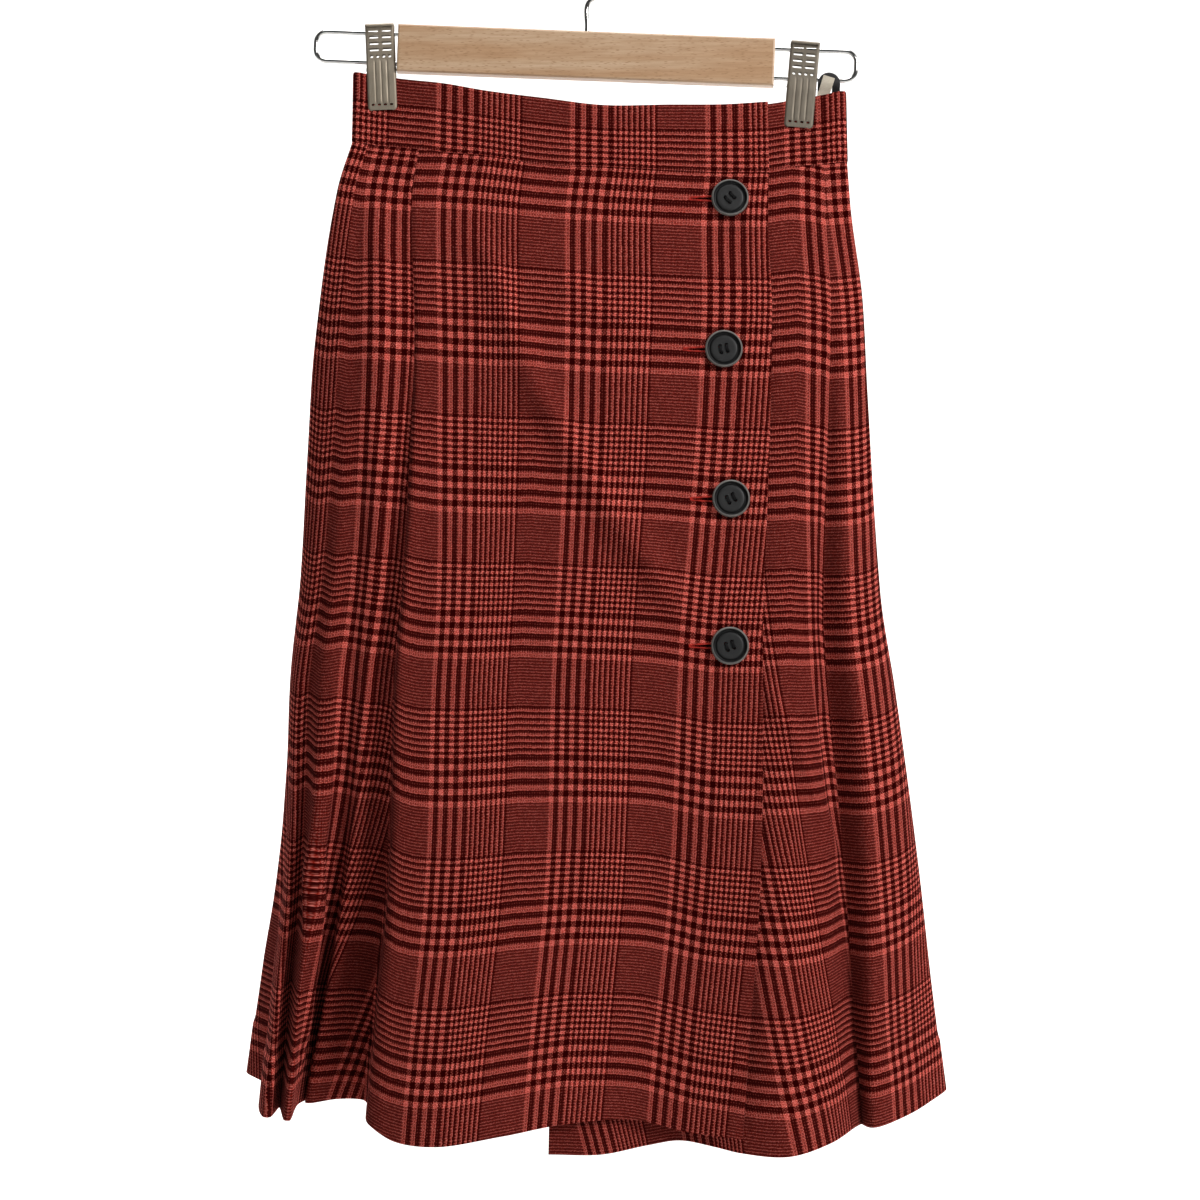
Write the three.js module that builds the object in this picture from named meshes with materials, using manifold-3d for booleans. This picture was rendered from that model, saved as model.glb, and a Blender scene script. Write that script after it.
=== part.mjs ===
// A high-waisted wrap skirt hung from a wooden clip hanger.
// Millimetres, +Z up, the front faces -Y and +X is the viewer's right.
// The origin is the inside of the hook's crown, where the rail carries it.

import * as THREE from "three";
import { mergeVertices } from "three/addons/utils/BufferGeometryUtils.js";
import Module from "manifold-3d";

const wasm = await Module();
wasm.setup();

// Cloth sizes.
const CLOTH_WALL = 1.6;
const BAND_WALL = 2.2;
const BAND_TOP_INSET = 2.5;
const SEAM_GAP = 0.3;
const RINGS = 17;

// Button sizes.
const BUTTON_RADIUS = 12.7;
const BUTTON_HEIGHT = 4.2;
const BUTTON_RIM = 2.6;
const BUTTON_DISH = 1.1;
const BUTTON_BACK = 10.2;
const BUTTON_HOLE = 1.1;
const BUTTON_HOLE_PITCH = 3.6;

// The black ribbon loop inside the waistband, and the folded pale tape in front of it.
const RIBBON = {
  x: 165, spring: -95, arch: 4.9, width: 5.4, thickness: 0.6, foot: -110,
  forward: 2.4, bandTop: -100.4, wireFoot: -94.4,
};
const TAPE = { x: 161.9, foot: -100.5, top: -90.4, lean: 3.2, width: 8, thickness: 0.7 };

// Hanger sizes.
const HANGER_TILT = THREE.MathUtils.degToRad(2.2);
const BAR = { length: 256, height: 32, depth: 12, middle: -75.8, edge: 1.2 };
const WIRE = 3.2;
const WIRE_SIDES = 8;
const WIRE_FIT = 0.3;
const LOOP = { reach: 185.4, spacing: 19.8, corner: 7.5, socket: 12 };
const HOOK = { crown: 19.6, stem: 36, socket: 14 };
const CLIP = {
  width: 19, height: 59, sheet: 1.1, wireGap: 1.9, clothGap: 2.9, bend: -3, roll: 1.5, springWidth: 20.5,
};
const SLOT = { width: 6.8, height: 2.1, apart: 8.6, first: 4.9, pitch: 4.3, rows: 4 };
const FLUTE = { pitch: 4.1, hole: 1.2, holes: 22.3, start: 24.8, end: 53.5, groove: 0.9 };
const PIERCE = 6;

// The skirt's outline seen from the front: the share of the drop from the waist seam to the
// hem, then the left and right edges there.
const OUTLINE = [
  { share: 0.0, left: -158.3, right: 177.0 },
  { share: 0.05, left: -168.6, right: 179.5 },
  { share: 0.15, left: -178.8, right: 187.7 },
  { share: 0.25, left: -185.0, right: 191.0 },
  { share: 0.46, left: -193.0, right: 200.0 },
  { share: 0.56, left: -201.0, right: 210.0 },
  { share: 0.67, left: -205.4, right: 220.3 },
  { share: 0.77, left: -212.0, right: 229.2 },
  { share: 0.88, left: -224.0, right: 238.0 },
  { share: 1.0, left: -236.0, right: 249.0 },
];

// The four levels at which the folds are placed: waist seam, hip, knee and hem.
const LEVELS = [0, 0.25, 0.56, 1];

// One row for each fold line, in order along the cloth from the buttoned wrap edge, round the
// left side and the back, to the free edge of the underlap. x and y are given at the four
// levels; top, seam and hem are the heights there of the waistband's top edge, of the seam
// under it and of the hem.
const FOLD_LINES = [
  { name: "wrap_edge", x: [124, 124, 118, 104], y: [-7, -21, -40, -50], top: -108, seam: -156, hem: -802 },
  { name: "button_line", x: [94, 92, 84, 69], y: [-8, -22, -38, -42], top: -110, seam: -156, hem: -799 },
  { name: "wrap_hollow", x: [56, 52, 44, 31], y: [-9, -23, -36, -34], top: -110.4, seam: -155, hem: -792 },
  { name: "wrap_middle", x: [12, 8, 0, -17], y: [-9.5, -23, -36, -42], top: -110.8, seam: -152.8, hem: -794 },
  { name: "wrap_left", x: [-28, -34, -44, -56.5], y: [-9, -23, -38, -52], top: -106, seam: -151, hem: -800 },
  { name: "wrap_swell", x: [-68, -78, -90, -99], y: [-7, -22, -41, -56], top: -100.6, seam: -145, hem: -806 },
  { name: "wrap_turn", x: [-96, -104, -118, -127], y: [-5, -21, -40, -51], top: -95.4, seam: -142.2, hem: -803 },
  { name: "left_edge", x: [-110.5, -113.5, -125.5, -142.5], y: [-4, -20, -36, -34], top: -93.6, seam: -140, hem: -794 },
  { name: "left_seam", x: [-113, -116, -129, -152], y: [-3.4, -17, -24, 14], top: -93.3, seam: -139.8, hem: -788 },
  { name: "pleat_floor", x: [-117, -121, -136, -170], y: [-2.9, -17, -22, 8], top: -92.8, seam: -139.4, hem: -786 },
  { name: "pleat_crease", x: [-123.5, -131, -147, -189.5], y: [-2.2, -19, -26, 2], top: -92, seam: -138.8, hem: -788 },
  { name: "side_hollow", x: [-130.5, -142, -158, -187], y: [-1.5, -19, -19, 25], top: -91, seam: -138, hem: -788 },
  { name: "flute_flank", x: [-137, -150, -168, -197], y: [-1.4, -17.5, -18.5, 0], top: -90, seam: -137.4, hem: -788 },
  { name: "flute_front", x: [-143, -160, -177.5, -199.5], y: [-1.4, -15, -20, -34], top: -89.2, seam: -136.8, hem: -793 },
  { name: "side_seam", x: [-148, -168, -187, -207.5], y: [-1.5, -12.5, -10, -8], top: -88.5, seam: -136, hem: -788 },
  { name: "flute_side", x: [-151.7, -175, -193, -213.5], y: [-1.9, -9, -9, -28], top: -88, seam: -135.6, hem: -792 },
  { name: "flute_back", x: [-154.8, -180, -198, -220.5], y: [-2.3, -6, -2, -6], top: -87.4, seam: -135.2, hem: -788 },
  { name: "left_side", x: [-157.4, -183.5, -200, -218], y: [-1.6, -2.5, 5, 21], top: -87, seam: -135, hem: -780 },
  { name: "left_turn", x: [-158.3, -185, -201, -236], y: [0, 1.5, 13, 48], top: -86.8, seam: -134.8, hem: -775 },
  { name: "left_back", x: [-157.4, -181.5, -196, -228], y: [1.6, 6, 20, 62], top: -87, seam: -134.8, hem: -775 },
  { name: "left_back_swell", x: [-154.8, -174, -186, -212], y: [2.3, 10, 25, 68], top: -87.6, seam: -135, hem: -776 },
  { name: "left_back_hollow", x: [-148, -162, -173, -197], y: [1.4, 13, 25, 46], top: -88.8, seam: -136, hem: -777 },
  { name: "left_back_ridge", x: [-138, -146, -157, -176], y: [1.4, 16, 29, 56], top: -90.4, seam: -137, hem: -778 },
  { name: "back_seam_left", x: [-118, -122, -132, -141], y: [1.8, 17.5, 27, 28], top: -94, seam: -140, hem: -778 },
  { name: "back_edge_left", x: [-112, -116, -126, -133], y: [2.6, 20, 32, 62], top: -95, seam: -141, hem: -779 },
  { name: "back_swell_left", x: [-84, -84, -92, -96], y: [3.6, 22, 34, 65], top: -98.5, seam: -144.5, hem: -780 },
  { name: "back_hollow_left", x: [-42, -42, -48, -50], y: [5, 23, 34, 56], top: -107, seam: -152, hem: -781 },
  { name: "back_middle", x: [6, 6, 4, 2], y: [5.6, 23.5, 35, 62], top: -111.5, seam: -157, hem: -782 },
  { name: "back_hollow_right", x: [50, 50, 52, 52], y: [5, 23, 34, 56], top: -112, seam: -157.5, hem: -783 },
  { name: "back_swell_right", x: [90, 94, 98, 98], y: [3.8, 21.5, 34, 65], top: -112, seam: -157.5, hem: -784 },
  { name: "back_edge_right", x: [119, 130, 138, 137], y: [2.5, 19.5, 31, 62], top: -110, seam: -156, hem: -784 },
  { name: "back_seam_right", x: [126, 137, 145, 145], y: [1.9, 16.5, 26, 28], top: -109.3, seam: -155, hem: -784 },
  { name: "right_back_ridge", x: [140, 156, 167, 180], y: [1.4, 14.5, 28, 54], top: -107, seam: -152.5, hem: -784 },
  { name: "right_back_hollow", x: [154, 172, 185, 200], y: [1.4, 10.5, 23, 40], top: -104.6, seam: -150.4, hem: -784 },
  { name: "right_back_swell", x: [165, 182, 197, 222], y: [2.4, 7, 20, 60], top: -102.4, seam: -149, hem: -785 },
  { name: "right_back", x: [174, 188.5, 206, 240], y: [2.2, 3.5, 14, 57], top: -100.4, seam: -148.5, hem: -785 },
  { name: "right_turn", x: [177, 191, 210, 249], y: [0, 0, 6, 41], top: -99.8, seam: -148.3, hem: -785.5 },
  { name: "right_front", x: [174, 188, 206, 235], y: [-2.2, -4, -4, 25], top: -100, seam: -148.5, hem: -792 },
  { name: "right_front_soft", x: [170, 182, 198, 218], y: [-2.5, -8, -12, 10], top: -100.8, seam: -148.8, hem: -798 },
  { name: "right_ridge", x: [165.5, 172, 183, 195], y: [-2.4, -12.5, -21, -6], top: -102, seam: -149.2, hem: -803 },
  { name: "right_seam", x: [162.5, 164.5, 164.8, 188.5], y: [-2.2, -11, -3, 12], top: -102.6, seam: -149.6, hem: -803 },
  { name: "right_flank", x: [160, 161, 161, 182.5], y: [-2, -13, -11, -3], top: -103, seam: -149.8, hem: -803 },
  { name: "underlap_round", x: [153, 154, 154, 163], y: [-1.4, -15.5, -22, -29], top: -104.3, seam: -150.2, hem: -809 },
  { name: "underlap_flute", x: [140, 142, 137, 134], y: [-1.4, -17, -28, -44], top: -106.3, seam: -151, hem: -815 },
  { name: "underlap_tuck", x: [123, 124, 115, 105], y: [-2.5, -16.5, -29, -38], top: -109, seam: -153.6, hem: -814 },
  { name: "underlap_slope", x: [106, 104, 95, 86], y: [-3.8, -17, -28.5, -30], top: -110.5, seam: -155.5, hem: -811 },
  { name: "underlap_hollow", x: [84, 82, 72, 63], y: [-4.8, -17.5, -27, -24], top: -111.5, seam: -157, hem: -808 },
  { name: "underlap_rise", x: [56, 54, 48, 40], y: [-5.2, -18, -27, -26], top: -112, seam: -157.5, hem: -811 },
  { name: "underlap_left", x: [22, 20, 14, 10], y: [-5.6, -18, -27, -31], top: -112, seam: -157, hem: -816 },
  { name: "underlap_edge", x: [-18, -20, -23, -25], y: [-5.4, -18, -27, -31], top: -109, seam: -154, hem: -816 },
];

// The panels between the fold lines, with the columns of faces made in each span.
const PANELS = [
  { name: "front_wrap_panel", from: "wrap_edge", to: "left_seam", steps: 2 },
  { name: "side_front_left", from: "left_seam", to: "side_seam", steps: 2 },
  { name: "side_back_left", from: "side_seam", to: "back_seam_left", steps: 2 },
  { name: "centre_back", from: "back_seam_left", to: "back_seam_right", steps: 2 },
  { name: "side_back_right", from: "back_seam_right", to: "right_turn", steps: 2 },
  { name: "side_front_right", from: "right_turn", to: "right_seam", steps: 2 },
  { name: "underlap_panel", from: "right_seam", to: "underlap_edge", steps: 2 },
];

// Button centres on the wrap panel, and how far each has turned on its thread.
const BUTTONS = [
  { name: "button_1", x: 97.3, z: -174.2, turn: 42 },
  { name: "button_2", x: 92.7, z: -277.0, turn: 12 },
  { name: "button_3", x: 97.1, z: -378.0, turn: 28 },
  { name: "button_4", x: 96.0, z: -476.2, turn: 20 },
];

const model = new THREE.Group();

const cloth = { color: 0x6e2c26, roughness: 0.95, metalness: 0 };
const blackResin = { color: 0x1c1b1b, roughness: 0.45, metalness: 0 };
const blackRibbon = { color: 0x141314, roughness: 0.8, metalness: 0 };
const paleTape = { color: 0xb9aea0, roughness: 0.85, metalness: 0 };
const paleWood = { color: 0xb89a79, roughness: 0.6, metalness: 0 };
const chromedWire = { color: 0xb9bbbd, roughness: 0.2, metalness: 1 };
const blackSpring = { color: 0x1a1a1a, roughness: 0.5, metalness: 0.4 };
const clipSteel = { color: 0x8f877c, roughness: 0.35, metalness: 1 };

// Adds one named piece to a group, with a material of its own.
function addPiece(parent, name, geometry, finish) {
  const piece = new THREE.Mesh(geometry, new THREE.MeshStandardMaterial(finish));
  piece.name = name;
  parent.add(piece);
  return piece;
}

// Cubic interpolation through given points that never overshoots them.
function smooth(stops, values, at) {
  let span = 0;
  while (span < stops.length - 2 && at > stops[span + 1]) span += 1;
  const slope = (i) => (values[i + 1] - values[i]) / (stops[i + 1] - stops[i]);
  const tangent = (i) => {
    if (i === 0) return slope(0);
    if (i === stops.length - 1) return slope(i - 1);
    const before = slope(i - 1);
    const after = slope(i);
    return before * after <= 0 ? 0 : (2 * before * after) / (before + after);
  };
  const width = stops[span + 1] - stops[span];
  const t = (at - stops[span]) / width;
  const start = (1 + 2 * t) * (1 - t) ** 2 * values[span] + t * (1 - t) ** 2 * width * tangent(span);
  const end = t * t * (3 - 2 * t) * values[span + 1] + t * t * (t - 1) * width * tangent(span + 1);
  return start + end;
}

// The outline's left edge and width at a share of the drop.
function outlineAt(share) {
  const stops = OUTLINE.map((row) => row.share);
  const left = smooth(stops, OUTLINE.map((row) => row.left), share);
  const right = smooth(stops, OUTLINE.map((row) => row.right), share);
  return { left, width: right - left };
}

// A fold line's point at a share of the drop. Its place across the outline is interpolated,
// so that every fold follows the outline's flare.
function foldPoint(line, share) {
  const across = line.x.map((x, level) => {
    const edge = outlineAt(LEVELS[level]);
    return (x - edge.left) / edge.width;
  });
  const edge = outlineAt(share);
  const x = edge.left + edge.width * smooth(LEVELS, across, share);
  const y = smooth(LEVELS, line.y, share);
  return new THREE.Vector3(x, y, line.seam + (line.hem - line.seam) * share);
}

// The smooth curve of the cloth's middle surface at a share of the drop.
function ringCurve(share) {
  const points = FOLD_LINES.map((line) => foldPoint(line, share));
  return new THREE.CatmullRomCurve3(points, false, "centripetal");
}

function lineIndex(name) {
  return FOLD_LINES.findIndex((line) => line.name === name);
}

// The cloth's outward direction in plan, square to the ring.
function outward(curve, at) {
  const along = curve.getTangent(at);
  return new THREE.Vector3(-along.y, along.x, 0).normalize();
}

// Columns along the ring between two fold lines, half a seam gap short at each end.
function columnsBetween(curve, first, last, steps) {
  const spans = FOLD_LINES.length - 1;
  const columns = [];
  for (let i = 0; i <= (last - first) * steps; i += 1) {
    const at = (first + i / steps) / spans;
    columns.push({ point: curve.getPoint(at), out: outward(curve, at) });
  }
  const shorten = (end, next) => {
    const inward = next.point.clone().sub(end.point).normalize();
    end.point.addScaledVector(inward, SEAM_GAP / 2);
  };
  shorten(columns[0], columns[1]);
  shorten(columns[columns.length - 1], columns[columns.length - 2]);
  return columns;
}

// One closed wall round a grid of middle points, a row for each ring.
function wallGeometry(rows, thickness) {
  const width = rows[0].length;
  const positions = [];
  for (const side of [1, -1]) {
    for (const row of rows) {
      for (const { point, out } of row) {
        const moved = point.clone().addScaledVector(out, (side * thickness) / 2);
        positions.push(moved.x, moved.y, moved.z);
      }
    }
  }
  const inside = rows.length * width;
  const faces = [];
  const quad = (a, b, c, d) => faces.push(a, b, c, a, c, d);
  for (let r = 0; r < rows.length - 1; r += 1) {
    for (let c = 0; c < width - 1; c += 1) {
      const a = r * width + c;
      const b = a + 1;
      quad(a, b, b + width, a + width);
      quad(inside + b, inside + a, inside + a + width, inside + b + width);
    }
    for (const c of [0, width - 1]) {
      const a = r * width + c;
      if (c === 0) quad(inside + a, a, a + width, inside + a + width);
      else quad(a, inside + a, inside + a + width, a + width);
    }
  }
  for (const r of [0, rows.length - 1]) {
    for (let c = 0; c < width - 1; c += 1) {
      const a = r * width + c;
      if (r === 0) quad(a + 1, a, inside + a, inside + a + 1);
      else quad(a, a + 1, inside + a + 1, inside + a);
    }
  }
  const geometry = new THREE.BufferGeometry();
  geometry.setAttribute("position", new THREE.Float32BufferAttribute(positions, 3));
  geometry.setIndex(faces);
  return facingOut(geometry);
}

// Turns a closed body's faces outwards if they point in.
function facingOut(geometry) {
  const place = geometry.getAttribute("position");
  const index = geometry.getIndex().array;
  const corner = (i) => new THREE.Vector3().fromBufferAttribute(place, index[i]);
  let volume = 0;
  for (let i = 0; i < index.length; i += 3) {
    volume += corner(i).dot(corner(i + 1).cross(corner(i + 2)));
  }
  if (volume < 0) {
    for (let i = 0; i < index.length; i += 3) {
      [index[i + 1], index[i + 2]] = [index[i + 2], index[i + 1]];
    }
  }
  return geometry;
}

// Booleans between closed geometries.
function toSolid(geometry) {
  const plain = new THREE.BufferGeometry();
  plain.setAttribute("position", geometry.getAttribute("position").clone());
  if (geometry.getIndex()) plain.setIndex(geometry.getIndex().clone());
  const merged = mergeVertices(plain, 1e-4);
  const mesh = new wasm.Mesh({
    numProp: 3,
    vertProperties: new Float32Array(merged.getAttribute("position").array),
    triVerts: new Uint32Array(merged.getIndex().array),
  });
  return new wasm.Manifold(mesh);
}

function toGeometry(solid) {
  const mesh = solid.getMesh();
  const geometry = new THREE.BufferGeometry();
  geometry.setAttribute("position", new THREE.Float32BufferAttribute(mesh.vertProperties, 3));
  geometry.setIndex(Array.from(mesh.triVerts));
  return geometry;
}

function cutAway(body, tools) {
  return toGeometry(tools.reduce((solid, tool) => solid.subtract(toSolid(tool)), toSolid(body)));
}

// A round bar along a curve.
function roundBar(curve, diameter, steps) {
  const section = new THREE.Shape();
  for (let i = 0; i < WIRE_SIDES; i += 1) {
    const angle = (i / WIRE_SIDES) * Math.PI * 2;
    const x = (Math.cos(angle) * diameter) / 2;
    const y = (Math.sin(angle) * diameter) / 2;
    if (i === 0) section.moveTo(x, y);
    else section.lineTo(x, y);
  }
  section.closePath();
  return new THREE.ExtrudeGeometry(section, { extrudePath: curve, steps, bevelEnabled: false });
}

// The cloth panels, from the waist seam to the hem.
for (const panel of PANELS) {
  const first = lineIndex(panel.from);
  const last = lineIndex(panel.to);
  const rows = [];
  for (let ring = 0; ring < RINGS; ring += 1) {
    const share = ring / (RINGS - 1);
    const columns = columnsBetween(ringCurve(share), first, last, panel.steps);
    if (ring === 0) columns.forEach((column) => (column.point.z -= SEAM_GAP));
    rows.push(columns);
  }
  addPiece(model, panel.name, wallGeometry(rows, CLOTH_WALL), cloth);
}

// The waistband stands on the top of the panels and narrows a little towards its top edge.
{
  const middle = (OUTLINE[0].left + OUTLINE[0].right) / 2;
  const halfWidth = (OUTLINE[0].right - OUTLINE[0].left) / 2;
  const rows = [0, 0.5, 1].map((share) => {
    const narrowing = 1 - (BAND_TOP_INSET / 2 / halfWidth) * share;
    const points = FOLD_LINES.map(({ x, y, seam, top }) =>
      new THREE.Vector3(middle + (x[0] - middle) * narrowing, y[0], seam + (top - seam) * share));
    const curve = new THREE.CatmullRomCurve3(points, false, "centripetal");
    return columnsBetween(curve, 0, FOLD_LINES.length - 1, 2);
  });
  addPiece(model, "waistband", wallGeometry(rows, BAND_WALL), cloth);
}

// The point and outward direction of the wrap panel's face at a place seen from the front.
function wrapPanelAt(x, z) {
  const spans = FOLD_LINES.length - 1;
  let share = 0.5;
  let at = 0;
  let curve = ringCurve(share);
  for (let round = 0; round < 8; round += 1) {
    curve = ringCurve(share);
    let low = 0;
    let high = lineIndex("left_edge") / spans;
    for (let i = 0; i < 24; i += 1) {
      at = (low + high) / 2;
      if (curve.getPoint(at).x > x) low = at;
      else high = at;
    }
    share += (curve.getPoint(at).z - z) / 650;
  }
  const point = curve.getPoint(at);
  const lower = ringCurve(share + 0.02).getPoint(at);
  const down = lower.sub(point).normalize();
  const along = curve.getTangent(at);
  const out = new THREE.Vector3().crossVectors(along, down).normalize();
  return { point, out: out.y < 0 ? out : out.negate() };
}

// A four-hole button: a round rim, a groove, and a flat dished middle.
function buttonGeometry() {
  const inner = BUTTON_RADIUS - BUTTON_RIM;
  const dishTop = BUTTON_HEIGHT - BUTTON_DISH;
  const profile = [
    new THREE.Vector2(0, 0),
    new THREE.Vector2(BUTTON_BACK, 0),
    new THREE.Vector2(BUTTON_RADIUS - 0.5, BUTTON_HEIGHT * 0.3),
    new THREE.Vector2(BUTTON_RADIUS, BUTTON_HEIGHT * 0.62),
    new THREE.Vector2(BUTTON_RADIUS - 0.5, BUTTON_HEIGHT * 0.88),
    new THREE.Vector2(BUTTON_RADIUS - 1.3, BUTTON_HEIGHT),
    new THREE.Vector2(inner, dishTop),
    new THREE.Vector2(inner - 0.6, dishTop - 0.2),
    new THREE.Vector2(inner - 1.2, dishTop),
    new THREE.Vector2(0, dishTop),
  ];
  const body = new THREE.LatheGeometry(profile, 24);
  const drills = [-1, 1].flatMap((i) =>
    [-1, 1].map((k) => {
      const drill = new THREE.CylinderGeometry(BUTTON_HOLE, BUTTON_HOLE, BUTTON_HEIGHT * 3, 8);
      return drill.translate((i * BUTTON_HOLE_PITCH) / 2, 0, (k * BUTTON_HOLE_PITCH) / 2);
    })
  );
  return cutAway(body, drills);
}

for (const { name, x, z, turn } of BUTTONS) {
  const { point, out } = wrapPanelAt(x, z);
  const button = addPiece(model, name, buttonGeometry(), blackResin);
  const face = new THREE.Quaternion().setFromUnitVectors(new THREE.Vector3(0, 1, 0), out);
  const spin = new THREE.Quaternion().setFromAxisAngle(out, THREE.MathUtils.degToRad(turn));
  button.quaternion.copy(spin.multiply(face));
  button.position.copy(point).addScaledVector(out, CLOTH_WALL / 2 + 0.4);
}

// A flat strip along a path seen from the front, with its depth given for each height.
function stripGeometry(path, width, thickness, steps, depthAt) {
  const rows = [];
  for (let i = 0; i <= steps; i += 1) {
    const middle = path.getPoint(i / steps);
    const along = path.getTangent(i / steps);
    const across = new THREE.Vector3(along.z, 0, -along.x).multiplyScalar(width / 2);
    const edges = [middle.clone().sub(across), middle.clone().add(across)];
    edges.forEach((point) => (point.y = depthAt(point.z)));
    rows.push(edges.map((point) => ({ point, out: new THREE.Vector3(0, -1, 0) })));
  }
  return wallGeometry(rows, thickness);
}

// The ribbon comes up from inside the waistband and passes in front of the hanger's wire.
function ribbonDepth(z) {
  return -RIBBON.forward * THREE.MathUtils.smoothstep(z, RIBBON.bandTop, RIBBON.wireFoot);
}

// The ribbon loop: an arch whose ends go down inside the waistband's fold.
{
  const arch = [];
  for (let angle = 180; angle >= 0; angle -= 30) {
    const turn = THREE.MathUtils.degToRad(angle);
    const x = RIBBON.x + Math.cos(turn) * RIBBON.arch;
    arch.push(new THREE.Vector3(x, 0, RIBBON.spring + Math.sin(turn) * RIBBON.arch));
  }
  const legs = [-1, 1].map((side) => new THREE.Vector3(RIBBON.x + side * RIBBON.arch, 0, RIBBON.foot));
  const path = new THREE.CatmullRomCurve3([legs[0], ...arch, legs[1]], false, "centripetal");
  const ribbonStrip = stripGeometry(path, RIBBON.width, RIBBON.thickness, 30, ribbonDepth);
  addPiece(model, "hanging_loop", ribbonStrip, blackRibbon);
}

// The pale tape is folded flat in front of the ribbon and leans to the right.
{
  const path = new THREE.LineCurve3(
    new THREE.Vector3(TAPE.x, 0, TAPE.foot), new THREE.Vector3(TAPE.x + TAPE.lean, 0, TAPE.top));
  const apart = (RIBBON.thickness + TAPE.thickness) / 2 + 2 * SEAM_GAP;
  const tapeStrip = stripGeometry(path, TAPE.width, TAPE.thickness, 8, (z) => ribbonDepth(z) - apart);
  addPiece(model, "folded_tape", tapeStrip, paleTape);
}

// The hanger, tilted as a whole about the point under the hook.
const hanger = new THREE.Group();
hanger.position.z = BAR.middle;
hanger.rotation.y = HANGER_TILT;
model.add(hanger);

function drillAlong(axis, diameter, length, x, z) {
  const drill = new THREE.CylinderGeometry(diameter / 2, diameter / 2, length, 16);
  if (axis === "x") drill.rotateZ(Math.PI / 2);
  else drill.rotateX(Math.PI / 2);
  return drill.translate(x, 0, z);
}

// The wooden bar has blind holes for the wire ends and for the hook.
{
  const half = { x: BAR.length / 2 - BAR.edge, z: BAR.height / 2 - BAR.edge };
  const face = new THREE.Shape();
  face.moveTo(-half.x, -half.z).lineTo(half.x, -half.z).lineTo(half.x, half.z).lineTo(-half.x, half.z);
  face.closePath();
  const bar = new THREE.ExtrudeGeometry(face, {
    depth: BAR.depth - 2 * BAR.edge,
    bevelThickness: BAR.edge,
    bevelSize: BAR.edge,
    bevelSegments: 2,
    steps: 1,
  });
  bar.translate(0, 0, -(BAR.depth - 2 * BAR.edge) / 2);
  bar.rotateX(Math.PI / 2);
  const holes = [];
  for (const side of [-1, 1]) {
    for (const level of [-1, 1]) {
      const x = side * (BAR.length / 2 - LOOP.socket / 2 + 1);
      const z = (level * LOOP.spacing) / 2;
      holes.push(drillAlong("x", WIRE + 2 * WIRE_FIT, LOOP.socket + 2, x, z));
    }
  }
  holes.push(drillAlong("z", WIRE + 2 * WIRE_FIT, HOOK.socket + 2, 0, BAR.height / 2 - HOOK.socket / 2 + 1));
  addPiece(hanger, "hanger_bar", cutAway(bar, holes), paleWood);
}

// Each end of the wire loop is one bent wire with both ends in the bar.
for (const [name, side] of [["wire_loop_left", -1], ["wire_loop_right", 1]]) {
  const inner = BAR.length / 2 - LOOP.socket + 0.5;
  const outer = LOOP.reach - WIRE / 2;
  const half = LOOP.spacing / 2;
  const path = new THREE.CurvePath();
  const place = (x, z) => new THREE.Vector3(side * x, 0, z);
  const bendStart = outer - LOOP.corner;
  path.add(new THREE.LineCurve3(place(inner, half), place(bendStart, half)));
  path.add(new THREE.QuadraticBezierCurve3(
    place(bendStart, half), place(outer, half), place(outer, half - LOOP.corner)));
  path.add(new THREE.LineCurve3(place(outer, half - LOOP.corner), place(outer, LOOP.corner - half)));
  path.add(new THREE.QuadraticBezierCurve3(
    place(outer, LOOP.corner - half), place(outer, -half), place(bendStart, -half)));
  path.add(new THREE.LineCurve3(place(bendStart, -half), place(inner, -half)));
  addPiece(hanger, name, roundBar(path, WIRE, 38), chromedWire);
}

// The hook stands in the bar's top and opens to the left.
{
  const centre = -HOOK.crown + WIRE / 2;
  const points = [];
  for (let angle = 205; angle >= -45; angle -= 25) {
    const turn = THREE.MathUtils.degToRad(angle);
    points.push(new THREE.Vector3(Math.cos(turn) * HOOK.crown, 0, centre + Math.sin(turn) * HOOK.crown));
  }
  // The stem follows the bar's own upright, so that it goes straight into its hole.
  const tiltAxis = new THREE.Vector3(0, 1, 0);
  const onStem = (height) => new THREE.Vector3(0, 0, height).applyAxisAngle(tiltAxis, HANGER_TILT);
  const foot = BAR.height / 2 - HOOK.socket + 0.5;
  for (const height of [HOOK.stem, BAR.height / 2 + 4, BAR.height / 2 - 3, foot]) {
    points.push(onStem(height).add(new THREE.Vector3(0, 0, BAR.middle)));
  }
  const path = new THREE.CatmullRomCurve3(points, false, "centripetal");
  addPiece(model, "hook", roundBar(path, WIRE, 44), chromedWire);
}

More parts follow.
